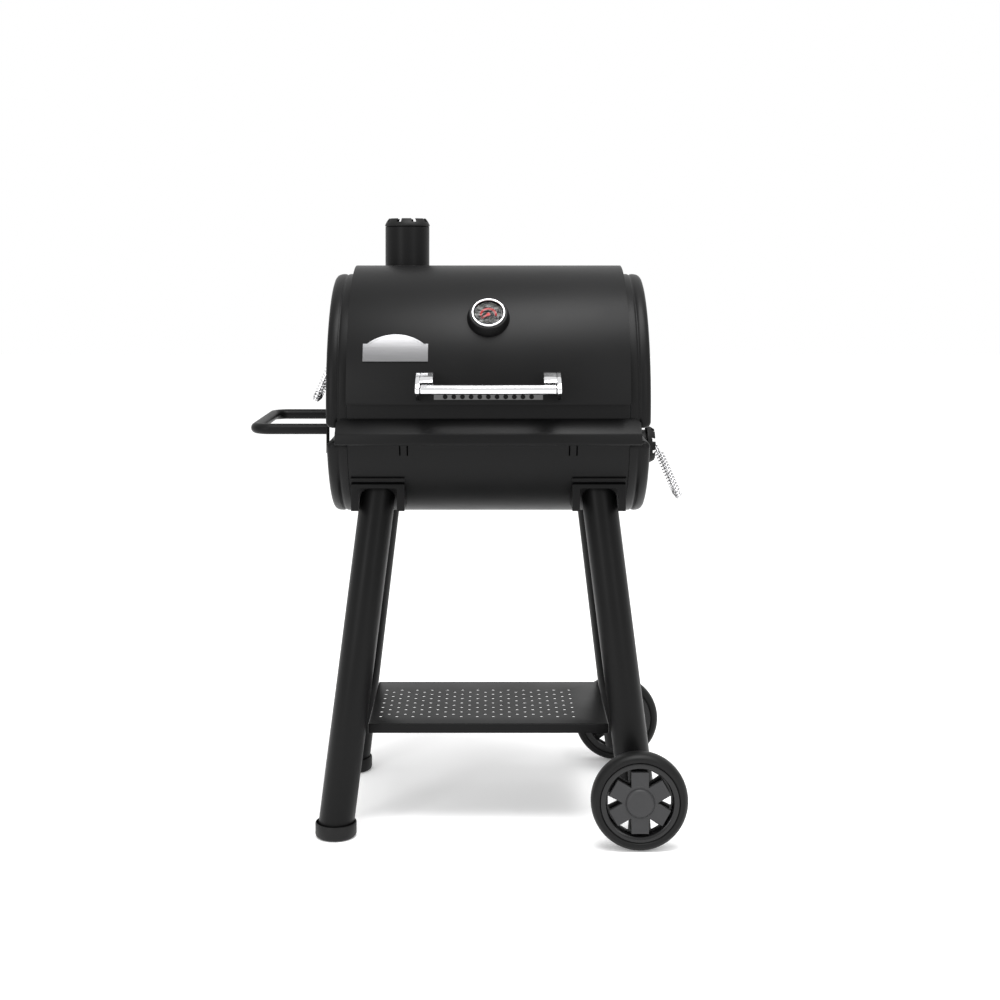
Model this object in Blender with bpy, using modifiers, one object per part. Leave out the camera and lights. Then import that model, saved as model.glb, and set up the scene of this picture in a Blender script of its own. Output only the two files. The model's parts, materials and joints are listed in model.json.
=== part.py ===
"""Barrel charcoal grill on a four-legged cart: every piece as its own solid, in metres, +Z up.

The barrel lies along X and its front faces -Y. The origin is on the ground, under the middle of
the whole grill's box, so the barrel's own middle stands BARREL_X to the right of it.
"""

import math

import bmesh
import bpy
from mathutils import Matrix, Quaternion, Vector

# Barrel
BARREL_X = 0.0359
BARREL_Y = 0.0096
BARREL_Z = 0.8145
SHELL_RADIUS = 0.2336
SHELL_HALF = 0.262
SHEET = 0.002
LID_SKIN_RADIUS = 0.2507
LID_SKIN_HALF = 0.2617
LID_SKIN_LOW_Z = 0.8105
LID_LOW_Z = 0.7643
BODY_RIM_Z = 0.760
BODY_END_Z = 0.7398
END_SHEET = 0.0018
END_FACE = 0.2780
END_RIM = 0.3010
GAP = 0.0004
ARC_STEP = 7.5

# Lid hinge
HINGE_Y = 0.2445
HINGE_Z = 0.7625
HINGE_X = 0.205
KNUCKLE_RADIUS = 0.006
PIN_RADIUS = 0.003
PIN_CLEARANCE = 0.0003

# Legs, shelf and wheels
LEG_RADIUS = 0.0333
LEG_WALL = 0.002
LEG_SPLAY_X = 0.1218
LEG_SPLAY_Y = 0.098
LEG_REF = Vector((0.220, 0.141, 0.55))
WHEEL_RADIUS = 0.089
WHEEL_WIDTH = 0.040
WHEEL_X = 0.2756
WHEEL_Y = 0.2604
AXLE_RADIUS = 0.006
SHELF_TOP_Z = 0.196
SHELF_HALF = (0.2285, 0.150)
SHELF_SKIRT = 0.018

# Fittings
CHIMNEY = (-0.166, 0.090)
CHIMNEY_RADIUS = 0.0450
CHIMNEY_TOP_Z = 1.1446
CROWN_RADIUS = 0.0456
CROWN_TABS = 8
DAMPER_RADIUS = 0.0375
DAMPER_Z = 0.7090
LID_DAMPER_Z = 0.9005
BAIL_LEAN = 23.5
BAIL_HALF = 0.040
BAIL_DROP = 0.1075
BAIL_RADIUS = 0.0078
BAIL_WIRE = 0.0021
THERMOMETER_ANGLE = 37.5
HANDLE_Y = -0.298
HANDLE_Z = 0.8415
HANDLE_RADIUS = 0.0088
SIDE_HANDLE_Z = 0.755
SIDE_HANDLE_Y = 0.147
SIDE_HANDLE_X = -0.4446
SIDE_HANDLE_RADIUS = 0.0102
GRID_Z = 0.7309
GRATE_Z = 0.640
PAN_Z = 0.5975
SLOT_X = 0.1575

BARREL_AXIS = Vector((0, 0, BARREL_Z))


# ---------------------------------------------------------------- scene, materials and placing

def clear_scene():
    for obj in list(bpy.data.objects):
        bpy.data.objects.remove(obj, do_unlink=True)


def new_collection(name, hidden=False):
    collection = bpy.data.collections.new(name)
    bpy.context.scene.collection.children.link(collection)
    collection.hide_render = hidden
    return collection


clear_scene()
PARTS = new_collection("barrel_grill")
CUTTERS = new_collection("cutters", hidden=True)
MIDDLE = bpy.data.objects.new("barrel_middle", None)
MIDDLE.location = (BARREL_X, BARREL_Y, 0)
PARTS.objects.link(MIDDLE)


def material(name, colour, metallic, roughness):
    made = bpy.data.materials.new(name)
    made.use_nodes = True
    shader = made.node_tree.nodes["Principled BSDF"]
    shader.inputs["Base Color"].default_value = (*colour, 1)
    shader.inputs["Metallic"].default_value = metallic
    shader.inputs["Roughness"].default_value = roughness
    return made


COATED = material("black_coated_steel", (0.022, 0.022, 0.023), 0.0, 0.42)
CAST = material("black_cast_iron", (0.015, 0.015, 0.016), 0.3, 0.65)
CHROME = material("chromed_steel", (0.80, 0.80, 0.82), 1.0, 0.12)
BRUSHED = material("brushed_steel", (0.62, 0.62, 0.63), 1.0, 0.35)
TYRE = material("tyre_rubber", (0.012, 0.012, 0.012), 0.0, 0.75)
NYLON = material("grey_nylon", (0.09, 0.09, 0.095), 0.0, 0.5)
FOOT = material("black_foot_plastic", (0.014, 0.014, 0.014), 0.0, 0.6)
DIAL = material("black_dial", (0.01, 0.01, 0.01), 0.0, 0.4)
NEEDLE = material("red_needle", (0.75, 0.03, 0.02), 0.0, 0.4)
GLASS = material("clear_glass", (0.9, 0.9, 0.9), 0.0, 0.05)


def add(name, mesh, finish=None, at=(0, 0, 0), turn=(0, 0, 0)):
    """A finished piece, or a cutter when it has no finish, placed from the barrel's middle."""
    obj = bpy.data.objects.new(name, mesh)
    (PARTS if finish else CUTTERS).objects.link(obj)
    if finish:
        mesh.materials.append(finish)
    else:
        obj.hide_render = True
        obj.display_type = "WIRE"
    obj.parent = MIDDLE
    obj.location = at
    obj.rotation_euler = turn
    return obj


def smooth(obj, angle=35):
    obj.data.shade_smooth()
    obj.data.set_sharp_from_angle(angle=math.radians(angle))
    return obj


def mesh_from(bm, name):
    mesh = bpy.data.meshes.new(name)
    bm.to_mesh(mesh)
    bm.free()
    return mesh


TURN_X = (0, math.pi / 2, 0)
TURN_Y = (-math.pi / 2, 0, 0)


# ---------------------------------------------------------------- shapes

def box(name, low, high, finish=None):
    """A block between two corners, with its origin at its middle."""
    low, high = Vector(low), Vector(high)
    bm = bmesh.new()
    bmesh.ops.create_cube(bm, size=1)
    bmesh.ops.scale(bm, vec=high - low, verts=bm.verts)
    return add(name, mesh_from(bm, name), finish, (low + high) / 2)


def rod(name, radius, start, end, finish=None, sides=16):
    """A straight round bar from start to end."""
    start, end = Vector(start), Vector(end)
    bm = bmesh.new()
    bmesh.ops.create_cone(
        bm, cap_ends=True, segments=sides, radius1=radius, radius2=radius, depth=(end - start).length
    )
    turn = (end - start).to_track_quat("Z", "Y").to_euler()
    return smooth(add(name, mesh_from(bm, name), finish, (start + end) / 2, turn))


def line_mesh(name, points, closed=False):
    """Points joined by edges, ready for a Screw modifier."""
    mesh = bpy.data.meshes.new(name)
    edges = [(i, i + 1) for i in range(len(points) - 1)]
    if closed:
        edges.append((len(points) - 1, 0))
    mesh.from_pydata([Vector(point) for point in points], edges, [])
    return mesh


def screw(obj, degrees, steps):
    turn = obj.modifiers.new("turn", "SCREW")
    turn.angle = math.radians(degrees)
    turn.steps = turn.render_steps = steps
    turn.use_merge_vertices = degrees == 360
    turn.merge_threshold = 0.00005
    turn.use_smooth_shade = True
    return obj


def thicken(obj, thickness, offset=0):
    wall = obj.modifiers.new("wall", "SOLIDIFY")
    wall.thickness = thickness
    wall.offset = offset
    return obj


def turned(name, profile, finish, at=(0, 0, 0), turn=(0, 0, 0), steps=32, ring=False):
    """A profile of (radius, height), top to bottom on its outer side, turned about its own Z."""
    points = [(radius, 0, height) for radius, height in profile]
    obj = add(name, line_mesh(name, points, closed=ring), finish, at, turn)
    return screw(obj, 360, steps)


def barrel_sheet(name, profile, low_z, over_top, thickness, finish):
    """A sheet rolled about the barrel's axis. Its profile is (radius, distance along the barrel).

    The roll ends at height low_z, at the front and at the back. It goes over the top or under.
    """
    radius = profile[0][0] if over_top is None else max(r for r, _ in profile)
    half = math.degrees(math.acos((BARREL_Z - low_z) / radius))
    start, sweep = (half, 360 - 2 * half) if over_top else (-half, 2 * half)
    spin = Matrix.Rotation(math.radians(start), 4, "Z")
    points = [spin @ Vector((r, 0, along)) for r, along in profile]
    obj = add(name, line_mesh(name, points), finish, BARREL_AXIS, TURN_X)
    screw(obj, sweep, round(sweep / ARC_STEP))
    return thicken(obj, thickness)


def tube(name, points, radius, finish, sides=3, corner=None):
    """A bent tube along a polyline, its corners rounded to the given radius."""
    route = [Vector(point) for point in points]
    if corner:
        route = rounded(route, corner)
    curve = bpy.data.curves.new(name, "CURVE")
    curve.dimensions = "3D"
    curve.bevel_depth = radius
    curve.bevel_resolution = sides
    curve.use_fill_caps = True
    spline = curve.splines.new("POLY")
    spline.points.add(len(route) - 1)
    for point, place in zip(spline.points, route):
        point.co = (*place, 1)
    obj = bpy.data.objects.new(name, curve)
    PARTS.objects.link(obj)
    bpy.context.view_layer.update()
    graph = bpy.context.evaluated_depsgraph_get()
    mesh = bpy.data.meshes.new_from_object(obj.evaluated_get(graph))
    bpy.data.objects.remove(obj, do_unlink=True)
    bm = bmesh.new()
    bm.from_mesh(mesh)
    bmesh.ops.remove_doubles(bm, verts=bm.verts, dist=0.00001)
    bmesh.ops.recalc_face_normals(bm, faces=bm.faces)
    bm.to_mesh(mesh)
    bm.free()
    mesh.name = name
    mesh.materials.clear()
    return smooth(add(name, mesh, finish), 50)


def rounded(route, radius, steps=5):
    """The route with each inner corner replaced by an arc."""
    result = [route[0]]
    for before, corner, after in zip(route, route[1:], route[2:]):
        one, two = (before - corner).normalized(), (after - corner).normalized()
        half = one.angle(two) / 2
        reach = radius / math.tan(half)
        centre = corner + (one + two).normalized() * radius / math.sin(half)
        start, end = corner + one * reach - centre, corner + two * reach - centre
        axis, angle = start.rotation_difference(end).to_axis_angle()
        for i in range(steps + 1):
            result.append(centre + Quaternion(axis, angle * i / steps) @ start)
    return result + [route[-1]]


def prism(name, outline, low, high, finish=None, axis="X"):
    """A flat outline, in the two other axes, pushed from low to high along one axis."""
    bm = bmesh.new()
    if axis == "X":
        places = [(low, a, b) for a, b in outline]
        push = Vector((high - low, 0, 0))
    elif axis == "Y":
        places = [(a, low, b) for a, b in outline]
        push = Vector((0, high - low, 0))
    else:
        places = [(a, b, low) for a, b in outline]
        push = Vector((0, 0, high - low))
    face = bm.faces.new([bm.verts.new(place) for place in places])
    grown = bmesh.ops.extrude_face_region(bm, geom=[face])
    verts = [item for item in grown["geom"] if isinstance(item, bmesh.types.BMVert)]
    bmesh.ops.translate(bm, vec=push, verts=verts)
    bmesh.ops.recalc_face_normals(bm, faces=bm.faces)
    return add(name, mesh_from(bm, name), finish)


def strip(name, line, low, high, thickness, finish):
    """A folded strip: a line in Y, Z drawn out along X and given its sheet thickness."""
    mesh = bpy.data.meshes.new(name)
    near = [(low, y, z) for y, z in line]
    far = [(high, y, z) for y, z in line]
    count = len(line)
    quads = [(i, i + 1, count + i + 1, count + i) for i in range(count - 1)]
    mesh.from_pydata(near + far, [], quads)
    return thicken(add(name, mesh, finish), thickness)


def combine(obj, other, operation):
    step = obj.modifiers.new(operation.lower(), "BOOLEAN")
    step.operation = operation
    step.solver = "EXACT"
    step.object = other
    return obj


def cut(obj, *others):
    for other in others:
        combine(obj, other, "DIFFERENCE")
    return obj


def join(obj, *others):
    for other in others:
        combine(obj, other, "UNION")
    return obj


def origin_at(obj, place):
    """Moves a piece's origin onto its joint's axis and leaves its shape where it is."""
    shift = Vector(place) - obj.location
    obj.data.transform(Matrix.Translation(-(obj.matrix_basis.to_3x3().inverted() @ shift)))
    obj.location = place
    return obj


def sign_of(side):
    return -1 if side in ("left", "front") else 1


# ---------------------------------------------------------------- barrel body

def end_disc(name, side, finish):
    """A stamped end: a short flange, a rounded bead standing out at the rim, a flat face."""
    radius = SHELL_RADIUS - END_SHEET / 2
    profile = [
        (radius, SHELL_HALF + 0.0012),
        (radius, 0.2860),
        (radius - 0.0030, 0.2955),
        (radius - 0.0095, END_RIM),
        (radius - 0.0185, END_RIM - 0.0015),
        (radius - 0.0260, END_FACE),
        (0, END_FACE),
    ]
    points = [(r, 0, sign_of(side) * along) for r, along in profile]
    disc = add(name, line_mesh(name, points), finish, BARREL_AXIS, TURN_X)
    screw(disc, 360, 40)
    return thicken(disc, END_SHEET)


def make_body():
    profile = [(SHELL_RADIUS - SHEET / 2, -SHELL_HALF), (SHELL_RADIUS - SHEET / 2, SHELL_HALF)]
    shell = barrel_sheet("body_shell", profile, BODY_RIM_Z, False, SHEET, COATED)
    tab_low, tab_high = 0.7115, 0.7305
    for facing in ("front", "rear"):
        for side in ("left", "right"):
            middle = sign_of(side) * SLOT_X
            near, far = sorted((sign_of(facing) * 0.1985, sign_of(facing) * 0.2090))
            tab = box(
                f"grid_tab_{facing}_{side}", (middle - 0.0052, near, tab_low), (middle + 0.0052, far, tab_high)
            )
            join(shell, tab)
            for edge in (-1, 1):
                slot_x = middle + edge * 0.007
                outer = sorted((sign_of(facing) * 0.200, sign_of(facing) * 0.230))
                slot = box(
                    f"slot_{facing}_{side}_{edge}",
                    (slot_x - 0.0011, outer[0], tab_low),
                    (slot_x + 0.0011, outer[1], tab_high),
                )
                cut(shell, slot)
    above = box("above_body_end", (-0.4, -0.3, BODY_END_Z), (0.4, 0.3, 1.2))
    door_hole = box("door_hole", (0.26, -0.080, 0.640), (0.31, 0.080, 0.728))
    for side in ("left", "right"):
        end = cut(end_disc(f"body_end_{side}", side, COATED), above)
        inner, outer = sorted((sign_of(side) * 0.2626, sign_of(side) * (END_FACE + 0.0005)))
        ledge = box(f"end_ledge_{side}", (inner, -0.2195, 0.7378), (outer, 0.2195, 0.7396))
        inner, outer = sorted((sign_of(side) * 0.2626, sign_of(side) * 0.2644))
        sill = box(f"end_sill_{side}", (inner, -0.2195, 0.7300), (outer, 0.2195, 0.7625))
        join(end, ledge, sill)
        if side == "right":
            cut(end, door_hole)
    lip = [(-0.2335, 0.7815), (-0.2610, 0.7568), (-0.2628, 0.7535), (-0.2628, 0.7375), (-0.2215, 0.7335)]
    strip("front_ledge", lip, -0.281, 0.281, 0.0016, COATED)


def make_legs():
    barrel = rod("barrel_space", SHELL_RADIUS + GAP, (-0.4, 0, BARREL_Z), (0.4, 0, BARREL_Z), sides=96)
    axle_hole = rod("axle_hole", AXLE_RADIUS + 0.0003, (WHEEL_X, -0.3, WHEEL_RADIUS), (WHEEL_X, 0.3, WHEEL_RADIUS))
    for side, foot_z in (("left", 0.004), ("right", 0.052)):
        floor = box(f"below_{side}_legs", (-0.5, -0.5, -0.2), (0.5, 0.5, foot_z))
        for facing in ("front", "rear"):
            x, y = sign_of(side), sign_of(facing)
            slope = Vector((x * LEG_SPLAY_X, y * LEG_SPLAY_Y, -1))
            middle = Vector((x * LEG_REF.x, y * LEG_REF.y, LEG_REF.z))
            top = middle - slope * (0.665 - LEG_REF.z)
            end = middle + slope * (LEG_REF.z + 0.02)
            leg = rod(f"leg_{facing}_{side}", LEG_RADIUS, top, end, COATED, 22)
            bore = rod(f"leg_bore_{facing}_{side}", LEG_RADIUS - LEG_WALL, middle - slope * 0.03, end, None, 22)
            cut(leg, barrel, bore, floor)
            if side == "right":
                cut(leg, axle_hole)
            else:
                foot = middle + slope * (LEG_REF.z - 0.019)
                make_foot(f"foot_{facing}_{side}", foot.x, foot.y)
            make_leg_bracket(facing, side, barrel)


def make_foot(name, x, y):
    outer, inner = 0.0385, 0.0364
    profile = [
        (inner, 0.0275), (outer, 0.0270), (outer, 0.006), (outer - 0.004, 0), (0, 0), (0, 0.0035), (inner, 0.0035)
    ]
    turned(name, profile, FOOT, (x, y, 0), steps=22, ring=True)


def make_leg_bracket(facing, side, barrel):
    """A folded channel under the barrel: its outer wall is notched for the leg, and a lip follows the barrel."""
    x, y = sign_of(side) * 0.208, sign_of(facing)
    wall, near, far = 0.003, 0.178, 0.090
    low = (x - 0.0505, min(y * near, y * far), 0.6035)
    high = (x + 0.0505, max(y * near, y * far), 0.6545)
    block = box(f"leg_bracket_{facing}_{side}", low, high, COATED)
    lip = box(f"bracket_lip_{facing}_{side}", (low[0], min(y * 0.15, y * 0.2), 0.6530), (high[0], max(y * 0.15, y * 0.2), 0.6660))
    round_barrel = rod(
        f"lip_space_{facing}_{side}", SHELL_RADIUS + GAP + wall, (-0.4, 0, BARREL_Z), (0.4, 0, BARREL_Z), sides=96
    )
    combine(lip, round_barrel, "INTERSECT")
    join(block, lip)
    inner = sorted((y * (near - wall), -y * 0.3))
    hollow = box(
        f"bracket_hollow_{facing}_{side}", (low[0] + wall, inner[0], 0.5), (high[0] - wall, inner[1], high[2] - wall)
    )
    outer = sorted((y * 0.16, y * 0.2))
    notch = box(f"bracket_notch_{facing}_{side}", (x - 0.036, outer[0], 0.5), (x + 0.036, outer[1], 0.6465))
    return cut(block, barrel, hollow, notch)


def make_shelf():
    half_x, half_y = SHELF_HALF
    tray = box("bottom_shelf", (-half_x, -half_y, SHELF_TOP_Z - SHELF_SKIRT), (half_x, half_y, SHELF_TOP_Z), COATED)
    edge = tray.modifiers.new("folds", "BEVEL")
    edge.width = 0.003
    edge.segments = 2
    edge.limit_method = "ANGLE"
    wall = 0.0016
    low = (-half_x + wall, -half_y + wall, SHELF_TOP_Z - SHELF_SKIRT - 0.01)
    inside = box("shelf_inside", low, (half_x - wall, half_y - wall, SHELF_TOP_Z - wall))
    cut(tray, inside)


def make_wheels():
    rod("axle", AXLE_RADIUS, (WHEEL_X, -0.283, WHEEL_RADIUS), (WHEEL_X, 0.283, WHEEL_RADIUS), BRUSHED)
    half = WHEEL_WIDTH / 2
    tyre = [
        (0.0635, half - 0.006), (0.0680, half - 0.001), (0.0790, half - 0.001), (WHEEL_RADIUS, half - 0.012),
        (WHEEL_RADIUS, -half + 0.012), (0.0790, -half + 0.001), (0.0680, -half + 0.001), (0.0635, -half + 0.006),
    ]
    rim = [
        (0.0630, half - 0.007), (0.0630, -half + 0.007), (0.0585, -half + 0.007), (0.0560, -0.004),
        (0.0150, -0.004), (0.0150, -0.0380), (0.0063, -0.0380), (0.0063, 0.0120), (0.0270, 0.0120),
        (0.0275, 0.0060), (0.0560, 0.0060), (0.0585, half - 0.007),
    ]
    cap = [(0, 0.0282), (0.0170, 0.0272), (0.0262, 0.0210), (0.0262, 0.0124), (0.0235, 0.0124), (0.0235, 0.0230)]
    cap += [(0, 0.0250)]
    for facing in ("front", "rear"):
        turn = (math.pi / 2, 0, 0) if facing == "front" else TURN_Y
        place = (WHEEL_X, sign_of(facing) * WHEEL_Y, WHEEL_RADIUS)
        turned(f"tyre_{facing}", tyre, TYRE, place, turn, 36, ring=True)
        hub = turned(f"wheel_hub_{facing}", rim, NYLON, place, turn, 24, ring=True)
        for i in range(6):
            spoke = math.radians(60 * i)
            outline = [
                polar(0.0400, spoke, 0), polar(0.0552, spoke, -0.0125), polar(0.0562, spoke, 0), polar(0.0552, spoke, 0.0125)
            ]
            window = prism(f"window_{facing}_{i}", outline, -0.02, 0.02, axis="Z")
            window.location = place
            window.rotation_euler = turn
            cut(hub, window)
        turned(f"hub_cap_{facing}", cap, NYLON, place, turn, 20)


def polar(radius, angle, aside):
    """A point at this radius and angle, moved aside along the circle."""
    across, along = math.cos(angle), math.sin(angle)
    return (radius * across - aside * along, radius * along + aside * across)


# ---------------------------------------------------------------- lid

def make_lid():
    skin_radius = LID_SKIN_RADIUS - SHEET / 2
    inner_edge = SHELL_RADIUS + 0.0008
    along = LID_SKIN_HALF - SHEET / 2
    profile = [(inner_edge, -along), (skin_radius, -along), (skin_radius, along), (inner_edge, along)]
    skin = barrel_sheet("lid_outer_shell", profile, LID_SKIN_LOW_Z, True, SHEET, COATED)
    profile = [(SHELL_RADIUS - SHEET / 2, -SHELL_HALF), (SHELL_RADIUS - SHEET / 2, SHELL_HALF)]
    inner = barrel_sheet("lid_inner_shell", profile, LID_LOW_Z, True, SHEET, COATED)
    x, y = CHIMNEY
    flue = rod("flue_hole", CHIMNEY_RADIUS + 0.0004, (x, y, 0.9), (x, y, 1.2), sides=32)
    normal = thermometer_normal()
    probe = rod("probe_hole", 0.0042, BARREL_AXIS + normal * 0.2, BARREL_AXIS + normal * 0.3)
    cut(skin, flue, probe)
    cut(inner, flue, probe)
    below = box("below_lid", (-0.4, -0.3, 0.4), (0.4, 0.3, LID_LOW_Z))
    for side in ("left", "right"):
        cut(end_disc(f"lid_end_{side}", side, COATED), below)


def saddle(name, inner, outer, half=0.3):
    """A thick pipe about the barrel's axis, to shape what lies on the lid."""
    profile = [(outer, half), (outer, -half), (inner, -half), (inner, half)]
    return turned(name, profile, None, BARREL_AXIS, TURN_X, 96, ring=True)


def thermometer_normal():
    angle = math.radians(THERMOMETER_ANGLE)
    return Vector((0, -math.cos(angle), math.sin(angle)))


def make_thermometer():
    place = BARREL_AXIS + thermometer_normal() * LID_SKIN_RADIUS
    turn = (math.radians(90 - THERMOMETER_ANGLE), 0, 0)
    housing = [
        (0.0305, 0.0165), (0.0350, 0.0165), (0.0398, 0.0030), (0.0400, -0.0060), (0.0042, -0.0060), (0.0042, 0.0095),
        (0.0305, 0.0095),
    ]
    lid_space = rod("lid_space", LID_SKIN_RADIUS + GAP, (-0.4, 0, BARREL_Z), (0.4, 0, BARREL_Z), sides=144)
    cut(turned("thermometer_housing", housing, COATED, place, turn, 30, ring=True), lid_space)
    bezel = [(0.0277, 0.0190), (0.0295, 0.0203), (0.0316, 0.0190), (0.0316, 0.0168), (0.0277, 0.0168)]
    turned("thermometer_bezel", bezel, CHROME, place, turn, 30, ring=True)
    dial = [(0, 0.0108), (0.0300, 0.0108), (0.0300, 0.0098), (0, 0.0098)]
    turned("thermometer_dial", dial, DIAL, place, turn, 24)
    lens = [(0, 0.0160), (0.0300, 0.0160), (0.0300, 0.0145), (0, 0.0145)]
    turned("thermometer_lens", lens, GLASS, place, turn, 24)
    rod(
        "thermometer_stem", 0.0032, place - thermometer_normal() * 0.080, place + thermometer_normal() * 0.0092, BRUSHED, 12
    )
    outline = [
        (-0.0030, 0.0012), (0.0, 0.0026), (0.0185, 0.0005), (0.0185, -0.0005), (0.0, -0.0026), (-0.0030, -0.0012)
    ]
    heading = math.radians(215)
    spun = [(a * math.cos(heading) - b * math.sin(heading), a * math.sin(heading) + b * math.cos(heading)) for a, b in outline]
    needle = prism("thermometer_needle", spun, 0.0115, 0.0123, NEEDLE, axis="Z")
    needle.location = place
    needle.rotation_euler = turn


def make_name_plate():
    """A blank plate with an arched top, lying on the curve of the lid."""
    plate = saddle("plate_skin", LID_SKIN_RADIUS + GAP, LID_SKIN_RADIUS + 0.0022)
    width, low, side, high = 0.0602, 0.0, 0.0341, 0.0534
    middle = 0.0355
    count = 12
    rise = high - side
    arch_half = 0.052
    radius = (arch_half ** 2 + rise ** 2) / (2 * rise)
    outline = [(-width, low), (width, low), (width, side), (arch_half, side)]
    for i in range(1, count):
        x = arch_half - 2 * arch_half * i / count
        outline.append((x, side + rise - radius + math.sqrt(radius ** 2 - x ** 2)))
    outline += [(-arch_half, side), (-width, side)]
    lowest = math.radians(17.1)
    reach = lowest + middle / 2 / LID_SKIN_RADIUS
    shape = prism("name_plate", [(x, z - middle / 2) for x, z in outline], 0.2, 0.3, BRUSHED, axis="Z")
    shape.location = BARREL_AXIS + Vector((-0.1714, 0, 0))
    shape.rotation_euler = (math.pi / 2 - reach, 0, 0)
    return combine(shape, plate, "INTERSECT")


def make_lid_handle():
    ends = [(-0.1223, HANDLE_Y, HANDLE_Z), (0.1223, HANDLE_Y, HANDLE_Z)]
    tube("lid_handle", ends, HANDLE_RADIUS, CHROME, 6)
    nose = [polar(0.0098, math.radians(angle), 0) for angle in range(120, 301, 30)]
    side_plate = [(-0.2400, 0.8715), (-0.2640, 0.8700), (-0.2850, 0.8610)]
    side_plate += [(HANDLE_Y + a, HANDLE_Z + b) for a, b in nose]
    side_plate += [(-0.2680, 0.8190), (-0.2400, 0.8156)]
    block = [(-0.2400, 0.8715), (-0.2640, 0.8700), (-0.2850, 0.8610), (-0.2925, 0.8535), (-0.2880, 0.8505)]
    block += [(-0.2700, 0.8465), (-0.2400, 0.8465)]
    behind = rod("handle_lid_space", LID_SKIN_RADIUS + GAP, (-0.4, 0, BARREL_Z), (0.4, 0, BARREL_Z), sides=144)
    grip = rod("grip_space", HANDLE_RADIUS + GAP, (-0.1229, HANDLE_Y, HANDLE_Z), (0.1229, HANDLE_Y, HANDLE_Z), sides=24)
    for side in ("left", "right"):
        inner, seam, outer = (sign_of(side) * x for x in (0.1000, 0.1240, 0.1326))
        post = prism(f"handle_post_{side}", side_plate, *sorted((seam, outer)), CHROME)
        seam = sign_of(side) * 0.1250
        join(post, prism(f"post_block_{side}", block, *sorted((inner, seam))))
        cut(post, behind, grip)
    box("handle_heat_shield", (-0.0990, -0.2762, 0.8215), (0.0990, -0.2750, 0.8475), BRUSHED)


def make_chimney():
    x, y = CHIMNEY
    top, wall = CHIMNEY_TOP_Z, 0.0015
    pipe = [
        (0.0340, top), (CHIMNEY_RADIUS, top), (CHIMNEY_RADIUS, 1.0), (CHIMNEY_RADIUS - wall, 1.0),
        (CHIMNEY_RADIUS - wall, top - wall), (0.0340, top - wall),
    ]
    turned("chimney_pipe", pipe, COATED, (x, y, 0), steps=32, ring=True)
    flange = rod("chimney_flange", 0.0590, (x, y, 0.99), (x, y, 1.10), COATED, 32)
    hole = rod("flange_hole", CHIMNEY_RADIUS + 0.0004, (x, y, 0.9), (x, y, 1.2), sides=32)
    combine(flange, saddle("flange_skin", LID_SKIN_RADIUS + GAP, LID_SKIN_RADIUS + 0.0030), "INTERSECT")
    cut(flange, hole)
    make_crown("chimney_crown", (x, y, top + 0.0004), (0, 0, 0), CROWN_RADIUS, 0.0160, 0.0070)


def make_crown(name, place, turn, radius, height, notch):
    """A cast damper cap: a disc with vent holes, and a rim that stands up in eight tabs."""
    plate = height - notch
    profile = [
        (0, plate), (radius - 0.0048, plate), (radius - 0.0110, height), (radius - 0.0078, height),
        (radius, plate - 0.001), (radius, 0), (radius - 0.0030, 0), (radius - 0.0030, plate - 0.0035),
        (0, plate - 0.0035),
    ]
    crown = turned(name, profile, CAST, place, turn, 32)
    for i in range(CROWN_TABS):
        angle = math.radians(360 / CROWN_TABS * i + 22.5)
        outline = [
            polar(radius - 0.0135, angle, -0.0062), polar(radius + 0.004, angle, -0.0062),
            polar(radius + 0.004, angle, 0.0062), polar(radius - 0.0135, angle, 0.0062),
        ]
        gap = prism(f"{name}_gap_{i}", outline, height - notch, height + 0.01, axis="Z")
        gap.location = place
        gap.rotation_euler = turn
        cut(crown, gap)
    for i in range(4):
        angle = math.radians(90 * i + 45)
        x, y = polar(radius * 0.52, angle, 0)
        bm = bmesh.new()
        bmesh.ops.create_cone(bm, cap_ends=True, segments=10, radius1=0.0085, radius2=0.0085, depth=0.06)
        bmesh.ops.translate(bm, vec=(x, y, 0), verts=bm.verts)
        vent = add(f"{name}_vent_{i}", mesh_from(bm, name + "_vent"), None, place, turn)
        cut(crown, vent)
    return crown


# ---------------------------------------------------------------- lid hinges

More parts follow.
